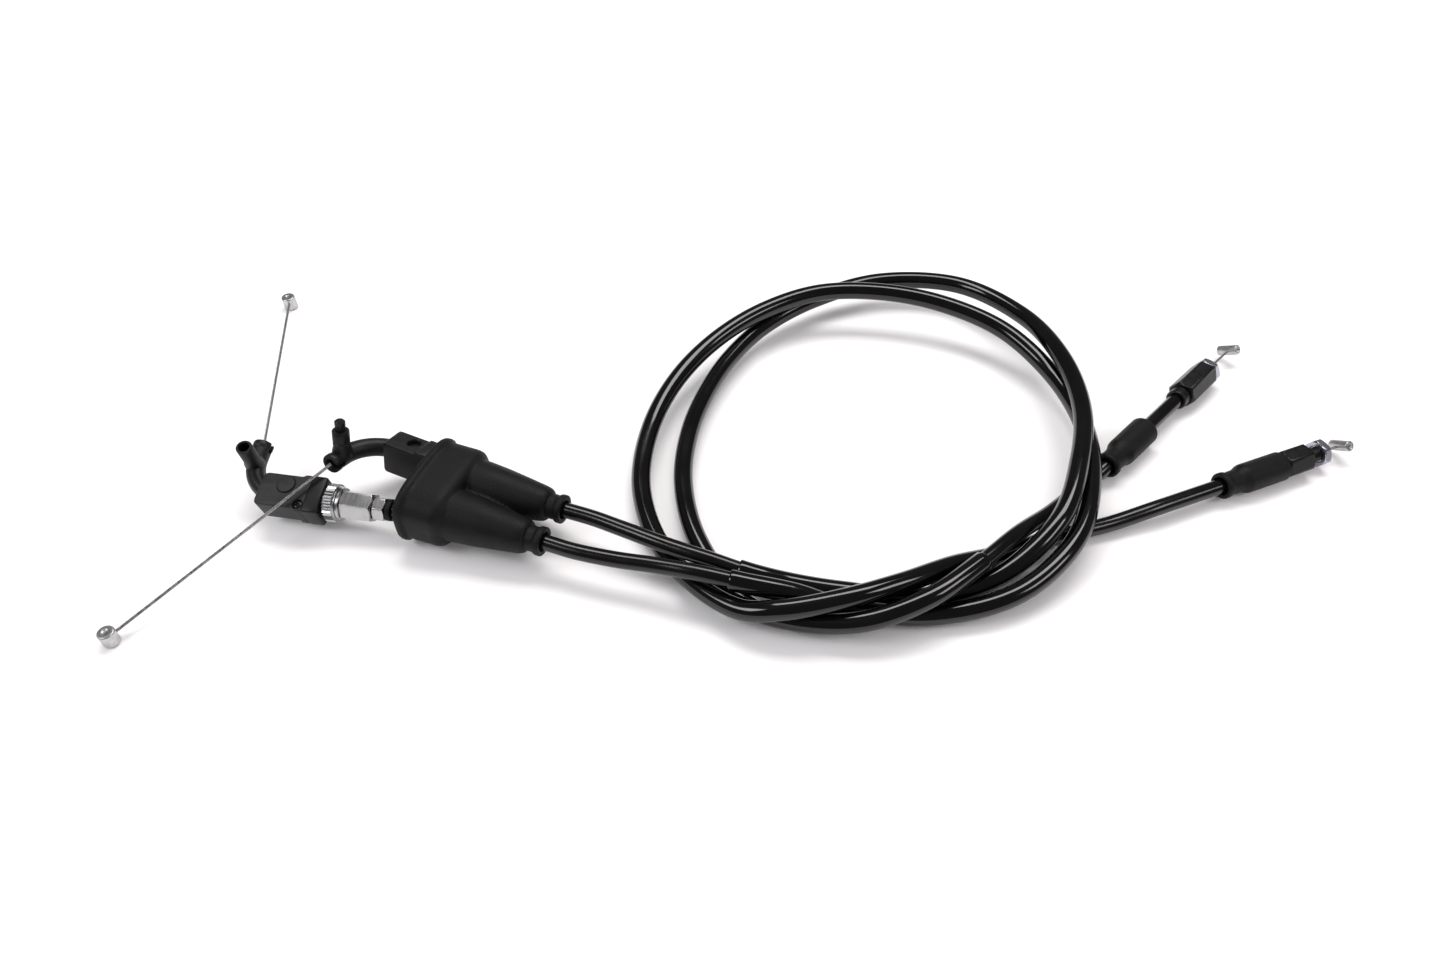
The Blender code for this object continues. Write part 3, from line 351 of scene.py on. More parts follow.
def cableFinish(name, settings):
    # drawn along the cable by its own UV map, in metres along and round; rubbed lines are rougher
    material, tree, shader, vector = startFinish(name, settings, fromUv=True)
    grain, rubbed, rough = skinColour(tree, shader, vector, settings)
    worn = mathNode(tree, "MULTIPLY_ADD", rubbed.outputs["Lines"], noiseLook["wornRoughness"], rough)
    tree.links.new(worn, shader.inputs["Roughness"])
    bumpFrom(tree, shader, grain.outputs["Patch"], settings["bump"], settings["depth"])
    return material


def metalFinish(name, settings, line=None):
    material, tree, shader, vector = startFinish(name, settings, line)
    marks = useGroup(tree, turnMarks, vector, Ring_Scale=settings["ringScale"],
                     Round_Scale=settings["roundScale"])
    cloud = rangeNode(tree, marks.outputs["Cloud"], *noiseLook["cloudBand"], 0.0, 1.0)
    colour = mixColour(tree, cloud, settings["dark"], settings["light"])
    tree.links.new(colour, shader.inputs["Base Color"])
    clouded = mathNode(tree, "MULTIPLY", marks.outputs["Cloud"], noiseLook["cloudShare"])
    both = mathNode(tree, "MULTIPLY_ADD", marks.outputs["Marks"], noiseLook["ringShare"], clouded)
    rough = rangeNode(tree, both, *noiseLook["metalBand"], *settings["roughness"])
    tree.links.new(rough, shader.inputs["Roughness"])
    bumpFrom(tree, shader, marks.outputs["Marks"], settings["bump"], settings["depth"])
    return material


finishes = {
    "rubber": {
        "dark": (0.0030, 0.0030, 0.0033), "light": (0.0064, 0.0064, 0.0067), "scuff": (0.022, 0.022, 0.0225),
        "metallic": 0.0, "specular": 0.20, "roughness": (0.48, 0.66),
        "grainScale": 1700.0, "patchScale": 55.0, "lineScale": 420.0, "stretch": 0.05, "rubbed": 0.14,
        "bump": 0.40, "depth": 0.00024,
    },
    "greyNylon": {
        "dark": (0.0125, 0.0125, 0.0135), "light": (0.023, 0.023, 0.0245), "scuff": (0.065, 0.065, 0.068),
        "metallic": 0.0, "specular": 0.32, "roughness": (0.44, 0.60),
        "grainScale": 2300.0, "patchScale": 110.0, "lineScale": 700.0, "stretch": 0.05, "rubbed": 0.22,
        "bump": 0.30, "depth": 0.00014,
    },
    "blackNylon": {
        "dark": (0.0034, 0.0034, 0.0038), "light": (0.0078, 0.0078, 0.0082), "scuff": (0.026, 0.026, 0.027),
        "metallic": 0.0, "specular": 0.32, "roughness": (0.36, 0.52),
        "grainScale": 2300.0, "patchScale": 120.0, "lineScale": 700.0, "stretch": 0.05, "rubbed": 0.18,
        "bump": 0.25, "depth": 0.00012,
    },
    "casing": {
        "dark": (0.0016, 0.0016, 0.0019), "light": (0.0032, 0.0032, 0.0036), "scuff": (0.016, 0.016, 0.0165),
        "metallic": 0.0, "specular": 0.45, "roughness": (0.14, 0.22), "grainScale": 900.0, "patchScale": 70.0,
        "lineScale": 900.0, "stretch": 0.03, "rubbed": 0.22, "bump": 0.10, "depth": 0.00010,
    },
    "sleeve": {
        "dark": (0.0013, 0.0013, 0.0016), "light": (0.0028, 0.0028, 0.0032), "scuff": (0.014, 0.014, 0.0145),
        "metallic": 0.0, "specular": 0.50, "roughness": (0.07, 0.13), "grainScale": 800.0, "patchScale": 48.0,
        "lineScale": 800.0, "stretch": 0.025, "rubbed": 0.18, "bump": 0.08, "depth": 0.00012,
    },
    "zinc": {
        "dark": (0.38, 0.38, 0.395), "light": (0.47, 0.467, 0.46), "metallic": 1.0, "roughness": (0.24, 0.34),
        "ringScale": 5200.0, "roundScale": 130.0, "bump": 0.04, "depth": 0.00004,
    },
    "nutZinc": {
        "dark": (0.36, 0.36, 0.45), "light": (0.52, 0.52, 0.57), "metallic": 1.0, "roughness": (0.22, 0.32),
        "ringScale": 5200.0, "roundScale": 130.0, "bump": 0.04, "depth": 0.00004,
    },
    "castZinc": {
        "dark": (0.44, 0.44, 0.45), "light": (0.60, 0.595, 0.585), "metallic": 1.0, "roughness": (0.30, 0.46),
        "ringScale": 1500.0, "roundScale": 520.0, "bump": 0.16, "depth": 0.00006,
    },
    "blackSteel": {
        "dark": (0.0036, 0.0036, 0.0040), "light": (0.0085, 0.0085, 0.0090),
        "metallic": 0.2, "specular": 0.45, "roughness": (0.26, 0.44),
        "ringScale": 4200.0, "roundScale": 240.0, "bump": 0.12, "depth": 0.00005,
    },
    "strand": {
        "dark": (0.24, 0.236, 0.23), "light": (0.46, 0.455, 0.45), "metallic": 1.0, "roughness": (0.26, 0.44),
        "ringScale": 900.0, "roundScale": 900.0, "bump": 0.12, "depth": 0.00003,
    },
}
bootRubber = mouldedFinish("bootRubber", finishes["rubber"])
blockNylon = mouldedFinish("greyNylon", finishes["greyNylon"])
elbowNylon = mouldedFinish("blackNylon", finishes["blackNylon"])
casingSkin = cableFinish("casingSkin", finishes["casing"])
sleeveSkin = cableFinish("sleeveSkin", finishes["sleeve"])
guideZinc = metalFinish("guideZinc", finishes["zinc"], pullGuide)
pullNutZinc = metalFinish("pullNutZinc", finishes["nutZinc"], pullCarb)
returnNutZinc = metalFinish("returnNutZinc", finishes["nutZinc"], returnCarb)
returnZinc = metalFinish("returnZinc", finishes["zinc"], returnGuide)
nippleZinc = metalFinish("nippleZinc", finishes["castZinc"])
pullBlack = metalFinish("pullBlackSteel", finishes["blackSteel"], pullCarb)
returnBlack = metalFinish("returnBlackSteel", finishes["blackSteel"], returnCarb)
screwBlack = metalFinish("screwBlackSteel", finishes["blackSteel"], pullGuide)
strandSteel = metalFinish("strandSteel", finishes["strand"])
print("finishes made:", len(bpy.data.materials))


# angles past which an edge stays sharp, in degrees
sharpAt = {"metal": 35.0, "block": 32.0, "elbow": 38.0, "tube": 50.0, "soft": 60.0}


# mesh helpers
def reshaded(mesh, sharp):
    mesh.shade_smooth()
    mesh.set_sharp_from_angle(angle=math.radians(sharp))
    return mesh


def toMesh(name, shape, place=None, sharp=sharpAt["metal"]):
    if place is not None:
        bmesh.ops.transform(shape, matrix=place, verts=shape.verts)
    bmesh.ops.recalc_face_normals(shape, faces=shape.faces)
    mesh = bpy.data.meshes.new(name)
    shape.to_mesh(mesh)
    shape.free()
    return reshaded(mesh, sharp)


def addPiece(name, mesh, material, body, slot, *nodes):
    piece = bpy.data.objects.new(name, mesh)
    bpy.context.scene.collection.objects.link(piece)
    mesh.materials.clear()
    mesh.materials.append(material)
    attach(piece, body)
    if nodes:
        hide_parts(*nodes)
    return piece


edgeShare = 0.45  # the most of an edge that the rounding of one corner takes


def eased(profile, radius, steps=4, loop=False):
    # rounds the corners of a profile, leaving the ends of an open one where they are
    points = [Vector(point) for point in profile]
    count = len(points)
    out = []
    for k, point in enumerate(points):
        if not loop and k in (0, count - 1):
            out.append(point)
            continue
        before = points[k - 1] - point
        after = points[(k + 1) % count] - point
        cut = min(radius, edgeShare * before.length, edgeShare * after.length)
        first = point + before.normalized() * cut
        last = point + after.normalized() * cut
        for step in range(steps + 1):
            t = step / steps
            out.append(first * (1 - t) ** 2 + point * 2 * t * (1 - t) + last * t ** 2)
    return [tuple(point) for point in out]


def joinRings(shape, rings, loop):
    pairs = list(zip(rings[:-1], rings[1:]))
    if loop:
        pairs.append((rings[-1], rings[0]))
    for first, second in pairs:
        for k in range(max(len(first), len(second))):
            corners = []
            for ring, step in ((first, k), (first, k + 1), (second, k + 1), (second, k)):
                corner = ring[step % len(ring)]
                if corner not in corners:
                    corners.append(corner)
            if len(corners) > 2:
                shape.faces.new(corners)


def spin(shape, rows, sides=64):
    # spins (x, radius) rows about X; a radius may be a function of the angle
    rings = []
    for x, radius in rows:
        if radius == 0:
            rings.append([shape.verts.new((x, 0, 0))])
            continue
        ring = []
        for k in range(sides):
            angle = 2 * math.pi * k / sides
            reach = radius(angle) if callable(radius) else radius
            ring.append(shape.verts.new((x, reach * math.sin(angle), reach * math.cos(angle))))
        rings.append(ring)
    joinRings(shape, rings, loop=len(rings[0]) > 1)


def turnedMesh(name, rows, place, sides=64, sharp=sharpAt["metal"]):
    shape = bmesh.new()
    spin(shape, rows, sides)
    return toMesh(name, shape, place, sharp)


def hexRadius(flat, limit):
    # a hexagon with its corners broken at limit
    sixth = math.pi / 3

    def reach(angle):
        return min(flat / math.cos((angle + sixth / 2) % sixth - sixth / 2), limit)

    return reach


hexEdge = {"slope": 0.577, "face": 0.97, "cornerBreak": 0.08 * mm, "steps": 6}


def hexRows(start, end, flat, slope=hexEdge["slope"], face=hexEdge["face"]):
    # a machined hexagon from start to end, its end faces chamfered to circles
    corner = flat / math.cos(math.pi / 6) - hexEdge["cornerBreak"]
    depth = (corner - flat * face) * slope
    rows = []
    for k in range(hexEdge["steps"] + 1):
        away = depth * k / hexEdge["steps"]
        rows.append((start + away, hexRadius(flat, min(flat * face + away / slope, corner))))
    return rows + [(start + end - x, radius) for x, radius in reversed(rows)]


threadForm = {"perTurn": 8, "flank": 2.6}  # rows in a turn, and how steeply the flanks fall


def threadRows(start, end, radius, pitch, depth):
    # a thread whose crest winds left-handed as it goes along
    perTurn = threadForm["perTurn"]
    rows = []
    for k in range(int((end - start) / pitch * perTurn) + 1):
        x = start + pitch * k / perTurn

        def reach(angle, x=x):
            phase = (x / pitch - angle / (2 * math.pi)) % 1.0
            return radius - depth * min(1.0, threadForm["flank"] * abs(phase - 0.5))

        rows.append((x, reach))
    return rows


def sweepFrames(points):
    # side and up at each point, carried along without twist
    points = [Vector(point) for point in points]
    ahead = [(b - a).normalized() for a, b in zip(points[:-1], points[1:])]
    middle = [(a + b).normalized() for a, b in zip(ahead[:-1], ahead[1:])]
    up = Vector((0, 0, 1))
    up = (up - ahead[0] * up.dot(ahead[0])).normalized()
    frames = []
    for point, tangent in zip(points, [ahead[0], *middle, ahead[-1]]):
        up = (up - tangent * up.dot(tangent)).normalized()
        frames.append((point, up.cross(tangent), up))
    return frames


def sweepMesh(name, points, radii, sides):
    # a closed tube with a UV map in metres: along the line, and round it
    shape = bmesh.new()
    uv = shape.loops.layers.uv.new("along")
    rings = []
    run = [0.0]
    for a, b in zip(points[:-1], points[1:]):
        run.append(run[-1] + (Vector(b) - Vector(a)).length)
    for (point, side, up), radius in zip(sweepFrames(points), radii):
        ring = []
        for k in range(sides):
            angle = 2 * math.pi * k / sides
            ring.append(shape.verts.new(point + (side * math.cos(angle) + up * math.sin(angle)) * radius))
        rings.append(ring)
    around = 2 * math.pi * max(radii) / sides
    for n in range(len(rings) - 1):
        for k in range(sides):
            ends = ((n, k), (n, k + 1), (n + 1, k + 1), (n + 1, k))
            face = shape.faces.new([rings[i][j % sides] for i, j in ends])
            for loop, (i, j) in zip(face.loops, ends):
                loop[uv].uv = (run[i], j * around)
    for ring in (rings[0], rings[-1]):
        face = shape.faces.new(ring)
        for loop in face.loops:
            loop[uv].uv = (0.0, 0.0)
    return toMesh(name, shape, sharp=sharpAt["tube"])


def solved(piece):
    # the finished mesh of a piece with live modifiers, and the piece taken away
    depsgraph = bpy.context.evaluated_depsgraph_get()
    depsgraph.update()
    mesh = bpy.data.meshes.new_from_object(piece.evaluated_get(depsgraph), depsgraph=depsgraph)
    bpy.data.objects.remove(piece, do_unlink=True)
    return mesh


def helper(name, mesh):
    piece = bpy.data.objects.new(name, mesh)
    bpy.context.scene.collection.objects.link(piece)
    return piece


def carved(name, mesh, tools, operation="DIFFERENCE"):
    body = helper(name, mesh)
    group = bpy.data.collections.new(f"{name}Tools")
    pieces = [helper(f"{name}Tool{k}", tool) for k, tool in enumerate(tools)]
    for piece in pieces:
        group.objects.link(piece)
    cut = body.modifiers.new("cut", "BOOLEAN")
    cut.operation = operation
    cut.solver = "EXACT"
    cut.operand_type = "COLLECTION"
    cut.collection = group
    result = solved(body)
    for piece in pieces:
        bpy.data.objects.remove(piece, do_unlink=True)
    bpy.data.collections.remove(group)
    return result


def joined(name, meshes, sharp=sharpAt["metal"]):
    shape = bmesh.new()
    for mesh in meshes:
        shape.from_mesh(mesh)
    out = bpy.data.meshes.new(name)
    shape.to_mesh(out)
    shape.free()
    return reshaded(out, sharp)


# the two cables: one smooth route each, in millimetres, from the guide to the carburettor end
cables = {
    "casingRadius": 3.0 * mm,
    "sleeveRadius": 3.8 * mm,
    "solidStep": 17.0 * mm,
    "step": 2.2 * mm,
    "sides": 28,
    "samples": 24,  # curve points read between two of the route's own
    "endShare": 0.25,  # of a step, over which a sleeve's cut end is drawn in
    "endDrop": 0.35 * mm,
    "loopCentre": (38.0, 4.0),
    "loopStart": -100.0,
    "loopStep": 20.0,
    "pullSleeve": (126.0 * mm, 836.0 * mm),
    "returnSleeve": (106.0 * mm, 782.0 * mm),
    "bootStraight": (-22.0, 0.0, 12.0),
    "carbStraight": (-60.0, -48.0, -24.0, -2.3),
    "bootPitch": 8.3,
    "pullStart": (17.2, 26.2),
    "returnStart": (21.5, 30.2),
    "pullEntry": [(-120.0, -47.9, 12.3)],
    "pullLeadIn": [
        (-57.0, -68.5, 13.5), (-42.0, -72.0, 14.5), (-27.0, -76.5, 16.0), (-12.0, -80.0, 15.0),
        (6.0, -81.5, 11.0),
    ],
    "pullLoop": [
        (89.5, 6.5), (92.0, 5.0), (95.5, 7.5), (94.5, 11.5), (90.0, 12.5), (89.0, 10.5),
        (88.5, 10.5), (85.5, 15.0), (80.5, 18.0), (78.0, 19.0), (78.0, 18.5), (76.5, 17.0),
        (77.5, 14.0), (81.0, 10.5), (86.5, 7.5), (94.0, 5.5), (100.5, 5.5), (104.5, 9.0),
    ],
    "pullLeadOut": [
        (1.0, -90.5, 13.5), (21.5, -88.0, 16.0), (43.0, -79.5, 14.0), (64.0, -68.0, 9.5),
        (84.5, -59.0, 4.5), (107.0, -50.0, 4.0), (128.0, -43.5, 4.0),
    ],
    "returnLeadIn": [
        (-55.0, -54.0, 13.0), (-39.0, -62.0, 13.5), (-23.5, -68.5, 13.5), (-8.5, -72.5, 10.5),
        (7.0, -74.0, 6.5),
    ],
    "returnLoop": [
        (81.0, 4.5), (83.5, 4.0), (86.0, 7.5), (86.5, 15.5), (84.0, 18.5), (86.5, 19.0),
        (91.0, 19.0), (99.5, 15.5), (104.0, 13.0), (96.5, 11.5), (84.5, 10.0), (76.0, 8.5),
        (70.0, 7.5), (68.0, 6.5), (70.5, 5.5), (77.0, 4.5), (86.5, 4.0), (98.0, 4.0),
    ],
    "returnLeadOut": [
        (5.0, -89.0, 5.5), (28.0, -93.0, 10.0), (51.0, -86.5, 14.0), (71.0, -72.0, 14.5),
        (88.5, -56.0, 13.0), (105.5, -40.5, 7.5), (121.0, -25.0, 4.0),
    ],
}


def onLine(line, distances, side=0.0):
    return [line @ (Vector((x, side, 0)) * mm) for x in distances]


def handPoints(points):
    return [Vector(point) * mm for point in points]


def loopPoints(stations):
    points = []
    for k, (radius, height) in enumerate(stations):
        angle = math.radians(cables["loopStart"] + cables["loopStep"] * k)
        x = cables["loopCentre"][0] + radius * math.cos(angle)
        y = cables["loopCentre"][1] + radius * math.sin(angle)
        points.append(Vector((x, y, height)) * mm)
    return points


def runAlong(points):
    return np.concatenate([[0], np.cumsum(np.linalg.norm(np.diff(points, axis=0), axis=1))])


def smoothRoute(control):
    # centripetal curve through the control points, read at even steps
    control = np.array([tuple(point) for point in control])
    padded = np.vstack([2 * control[0] - control[1], control, 2 * control[-1] - control[-2]])
    dense = []
    for p0, p1, p2, p3 in zip(padded, padded[1:], padded[2:], padded[3:]):
        t1 = np.linalg.norm(p1 - p0) ** 0.5
        t2 = t1 + np.linalg.norm(p2 - p1) ** 0.5
        t3 = t2 + np.linalg.norm(p3 - p2) ** 0.5
        for t in np.linspace(t1, t2, cables["samples"], endpoint=False):
            a1 = ((t1 - t) * p0 + t * p1) / t1
            a2 = ((t2 - t) * p1 + (t - t1) * p2) / (t2 - t1)
            a3 = ((t3 - t) * p2 + (t - t2) * p3) / (t3 - t2)
            b1 = ((t2 - t) * a1 + t * a2) / t2
            b2 = ((t3 - t) * a2 + (t - t1) * a3) / (t3 - t1)
            dense.append(((t2 - t) * b1 + (t - t1) * b2) / (t2 - t1))
    dense.append(control[-1])
    dense = np.array(dense)
    run = runAlong(dense)
    marks = np.linspace(0, run[-1], round(run[-1] / cables["step"]) + 1)
    return np.stack([np.interp(marks, run, dense[:, k]) for k in range(3)], axis=1)


pullRoute = smoothRoute(
    onLine(pullGuide, cables["pullStart"])
    + handPoints(cables["pullEntry"])
    + onLine(bootLine, cables["bootStraight"], -cables["bootPitch"])
    + handPoints(cables["pullLeadIn"])
    + loopPoints(cables["pullLoop"])
    + handPoints(cables["pullLeadOut"])
    + onLine(pullCarb, cables["carbStraight"])
)
returnRoute = smoothRoute(
    onLine(returnGuide, cables["returnStart"])
    + onLine(bootLine, cables["bootStraight"], cables["bootPitch"])
    + handPoints(cables["returnLeadIn"])
    + loopPoints(cables["returnLoop"])
    + handPoints(cables["returnLeadOut"])
    + onLine(returnCarb, cables["carbStraight"])
)


def layCable(side, route, sleeve):
    run = runAlong(route)
    solidRun = np.linspace(0, run[-1], round(run[-1] / cables["solidStep"]) + 1)
    covered = solidRun[(solidRun >= sleeve[0]) & (solidRun <= sleeve[1])]
    plain = [cables["casingRadius"]] * len(route)
    casing = addPiece(f"{side}CasingTube", sweepMesh(f"{side}CasingTube", route, plain, cables["sides"]),
                      casingSkin, "cables", "casing", f"{side}_casing")
    outer = route[(run >= covered[0]) & (run <= covered[-1])]
    # the cut ends of the sleeve are drawn in a little
    drawnIn = cables["sleeveRadius"] - cables["endDrop"]
    radii = [drawnIn, *[cables["sleeveRadius"]] * len(outer), drawnIn]
    first = outer[:1] + (outer[1] - outer[0]) * cables["endShare"]
    last = outer[-1:] - (outer[-1] - outer[-2]) * cables["endShare"]
    outer = np.vstack([outer[:1], first, outer[1:-1], last, outer[-1:]])
    tube = addPiece(f"{side}SleeveTube", sweepMesh(f"{side}SleeveTube", outer, radii, cables["sides"]),
                    sleeveSkin, "cables", "sleeve", f"{side}_sleeve")
    print(f"{side} cable laid, {run[-1] / mm:.1f} mm")


layCable("pull", pullRoute, cables["pullSleeve"])
layCable("return", returnRoute, cables["returnSleeve"])


# small makers for the hardware, which is written in millimetres along its own line
def sized(rows):
    return [(x * mm, radius * mm) for x, radius in rows]


def at(x, y, z):
    return Matrix.Translation(Vector((x, y, z)) * mm)


def boxMesh(name, size, place):
    shape = bmesh.new()
    bmesh.ops.create_cube(shape, size=1.0, matrix=Matrix.Diagonal((*(Vector(size) * mm), 1.0)))
    return toMesh(name, shape, place)


softEdge = {"segments": 3, "angle": 40.0}


def prismMesh(name, outline, low, high, place, edge):
    # an outline raised from low to high, with its edges rounded
    shape = bmesh.new()
    rings = [[shape.verts.new((x * mm, y * mm, z * mm)) for x, y in outline] for z in (low, high)]
    joinRings(shape, rings, loop=False)
    shape.faces.new(rings[0])
    shape.faces.new(rings[1])
    piece = helper(name, toMesh(name, shape))
    soft = piece.modifiers.new("edge", "BEVEL")
    soft.width = edge * mm
    soft.segments = softEdge["segments"]
    soft.limit_method = "ANGLE"
    soft.angle_limit = math.radians(softEdge["angle"])
    mesh = solved(piece)
    mesh.transform(place)
    return reshaded(mesh, sharpAt["block"])


def addTurned(name, rows, place, material, body, slot, node, sides=64, sharp=sharpAt["metal"]):
    return addPiece(name, turnedMesh(name, rows, place, sides, sharp), material, body, slot, node)


standUp = Matrix.Rotation(-math.pi / 2, 4, "Y")

# elbow guides: a tube round a bend, with a bell mouth, a slot for the wire and a standing peg
elbows = {
    "bend": 14.5,
    "turn": 88.0,
    "mouthLength": 7.0,
    # the mouth rows are distances back from the mouth, and the radius there
    "tubeStart": -6.0,
    "tube": {
        "runEnd": 3.0, "rows": 34, "radius": 3.6, "sides": 40,
        "mouth": [(2.6, 3.6), (2.2, 3.8), (0.4, 3.8), (0.0, 3.6)],
    },
    "boreDepth": 14.0,
    "bore": {
        "runEnd": 1.6, "rows": 8, "radius": 1.4, "sides": 24,
        "mouth": [(0.8, 1.7), (0.0, 2.3), (-2.0, 2.3)],
    },
    "slot": (8.0, 8.0, 2.0),
    "pegSides": 40,
    "pull": {
        "bendStart": -21.9, "side": 1, "pegAngle": 77.0, "pegLean": 6.0,
        "peg": [(1.0, 0), (1.0, 3.7), (3.4, 3.6), (5.2, 3.05), (14.1, 3.0), (14.5, 2.7), (14.5, 2.1),
                (14.1, 1.9), (6.5, 1.9), (6.5, 0)],
    },
    "return": {
        "bendStart": 0.0, "side": -1, "pegAngle": 90.0, "pegLean": 0.0,
        "peg": [(1.0, 0), (1.0, 3.8), (3.2, 3.7), (4.8, 3.2), (6.6, 3.2), (6.9, 2.9), (7.3, 2.9), (7.6, 3.2),
                (11.6, 3.2), (12.0, 2.9), (12.0, 1.8), (13.6, 1.8), (13.9, 2.0), (15.7, 2.0), (16.2, 1.5),
                (16.2, 0)],
    },
}
elbowEnd = elbows["bend"] * math.radians(elbows["turn"]) + elbows["mouthLength"]


def elbowAt(settings, run):
    # point and heading at a distance from the start of the bend; below zero it is straight
    bend = elbows["bend"]
    angle = min(max(run / bend, 0.0), math.radians(elbows["turn"]))
    past = max(run - bend * math.radians(elbows["turn"]), 0.0)
    heading = Vector((-math.cos(angle), settings["side"] * math.sin(angle), 0))
    x = settings["bendStart"] - bend * math.sin(angle) - min(run, 0.0)
    return Vector((x, settings["side"] * bend * (1 - math.cos(angle)), 0)) + heading * past, heading


def elbowTube(name, guide, settings, start, shape):
    # an even run at one radius, then the rows near the mouth
    rows = [(run, shape["radius"]) for run in np.linspace(start, elbowEnd - shape["runEnd"], shape["rows"])]
    rows += [(elbowEnd - back, radius) for back, radius in shape["mouth"]]
    points = [guide @ (elbowAt(settings, run)[0] * mm) for run, _ in rows]
    return sweepMesh(name, points, [radius * mm for _, radius in rows], shape["sides"])


def elbowMesh(name, guide, settings):
    tube = elbowTube(name, guide, settings, elbows["tubeStart"], elbows["tube"])
    root = elbowAt(settings, elbows["bend"] * math.radians(settings["pegAngle"]))[0]
    lean = Matrix.Rotation(math.radians(settings["pegLean"]), 4, "Y")
    pegPlace = guide @ at(*root) @ lean @ standUp
    peg = turnedMesh(f"{name}Peg", sized(settings["peg"]), pegPlace, elbows["pegSides"])
    whole = carved(name, tube, [peg], "UNION")
    bore = elbowTube(f"{name}Bore", guide, settings, elbowEnd - elbows["boreDepth"], elbows["bore"])
    centre, heading = elbowAt(settings, elbowEnd)
    outward = heading.cross(Vector((0, 0, settings["side"])))
    turn = Matrix((heading, outward, heading.cross(outward))).transposed().to_4x4()
    slotPlace = guide @ at(*centre) @ turn @ at(0, elbows["slot"][1] / 2, 0)
    slot = boxMesh(f"{name}Slot", elbows["slot"], slotPlace)
    return reshaded(carved(name, whole, [bore, slot]), sharpAt["elbow"])


for side, guide, body in (("pull", pullGuide, "pull_guide"), ("return", returnGuide, "cables")):
    addPiece(f"{side}ElbowGuide", elbowMesh(f"{side}ElbowGuide", guide, elbows[side]), elbowNylon, body,
             "elbow_plastic", f"{side}_elbow")
print("elbow guides done")

# pull guide: plate with a plug and a screw, and the darker clip behind it
guideBlock = {
    "outline": [(-28.3, 6.8), (-12.9, 6.8), (-12.1, 7.6), (-8.0, 7.6), (-8.0, -7.6), (-12.1, -7.6),
                (-12.9, -6.8), (-28.3, -6.8)],
    "corner": 2.2,
    "half": 5.2,
    "edge": 0.55,
    "clip": [(-9.4, 7.7), (-3.1, 7.7), (-3.1, -7.7), (-9.4, -7.7)],
    "clipHalf": 5.6,
    "clipEdge": 1.0,
    "plug": (-18.2, 2.5),
    "plugRows": [(-0.3, 0), (-0.3, 3.3), (0.6, 3.3), (0.6, 0)],
    "plugRound": 0.3,
    "plugSeat": (3.65, 0.5),  # radius and depth
    "screw": (-11.2, -4.9),
    "screwRows": [(-2.0, 0), (-2.0, 1.7), (-0.55, 1.7), (-0.2, 1.1), (-0.1, 0)],
    "screwRound": 0.25,
    "screwSeat": (2.05, 1.6),
    "seatTop": 2.0,
    "seatSides": 40,
    "recess": (1.5, 0.5, 2.2),
    "recessTurn": 0.4,  # radians
}


def seatMesh(name, place, radius, depth):
    high = guideBlock["seatTop"]
    rows = [(-depth, 0), (-depth, radius), (high, radius), (high, 0)]
    return turnedMesh(name, sized(rows), place, guideBlock["seatSides"])


top = guideBlock["half"]
plugPlace = pullGuide @ at(*guideBlock["plug"], top) @ standUp
screwPlace = pullGuide @ at(*guideBlock["screw"], top) @ standUp
plateOutline = eased(guideBlock["outline"], guideBlock["corner"], loop=True)
plate = prismMesh("pullGuidePlate", plateOutline, -top, top, pullGuide, guideBlock["edge"])
plate = carved("pullGuidePlate", plate, [
    seatMesh("plugSeat", plugPlace, *guideBlock["plugSeat"]),
    seatMesh("screwSeat", screwPlace, *guideBlock["screwSeat"]),
])
addPiece("pullGuidePlate", reshaded(plate, sharpAt["block"]), blockNylon, "pull_guide", "block_plastic",
         "pull_guide_block")
clip = prismMesh("pullGuideClip", guideBlock["clip"], -guideBlock["clipHalf"], guideBlock["clipHalf"],
                 pullGuide, guideBlock["clipEdge"])
addPiece("pullGuideClip", clip, elbowNylon, "pull_guide", "block_plastic")
addTurned("guidePlug", sized(eased(guideBlock["plugRows"], guideBlock["plugRound"])), plugPlace, blockNylon,
          "pull_guide", "block_plastic", "pull_guide_plug")
head = turnedMesh("guideScrew", sized(eased(guideBlock["screwRows"], guideBlock["screwRound"])), screwPlace)
cross = []
for k in range(2):
    turn = Matrix.Rotation(guideBlock["recessTurn"] + k * math.pi / 2, 4, "X")
    cross.append(boxMesh(f"recess{k}", guideBlock["recess"], screwPlace @ turn))
addPiece("guideScrew", reshaded(carved("guideScrew", head, cross), sharpAt["block"]), screwBlack,
         "pull_guide", "black_steel", "pull_guide_screw")
print("pull guide done")

# return guide: a block on edge with a round socket in its upper face
returnBlock = {
    "outline": [(-3.4, 6.8), (10.9, 6.8), (11.7, 7.7), (16.4, 7.7), (16.4, -7.7), (11.7, -7.7), (10.9, -6.8),
                (-3.4, -6.8)],
    "corner": 1.8,
    "half": 5.2,
    "edge": 0.6,
    "drop": 1.2,
    "socket": (6.7, 0.8, 5.6),
    "socketRows": [(-2.2, 0), (-2.2, 2.5), (-0.4, 2.6), (2.0, 4.4), (2.0, 0)],
    "ferrule": [(10.4, 1.2), (10.4, 3.5), (16.7, 3.5), (16.7, 4.2), (27.2, 4.2), (27.2, 3.1), (21.5, 3.1),
                (21.5, 1.2)],
    "ferruleRound": 0.3,
}
onEdge = returnGuide @ at(0, 0, -returnBlock["drop"]) @ Matrix.Rotation(math.pi / 2, 4, "X")
blockOutline = eased(returnBlock["outline"], returnBlock["corner"], loop=True)
block = prismMesh("returnGuideBlock", blockOutline, -returnBlock["half"], returnBlock["half"], onEdge,
                  returnBlock["edge"])
socketPlace = returnGuide @ at(*returnBlock["socket"]) @ standUp
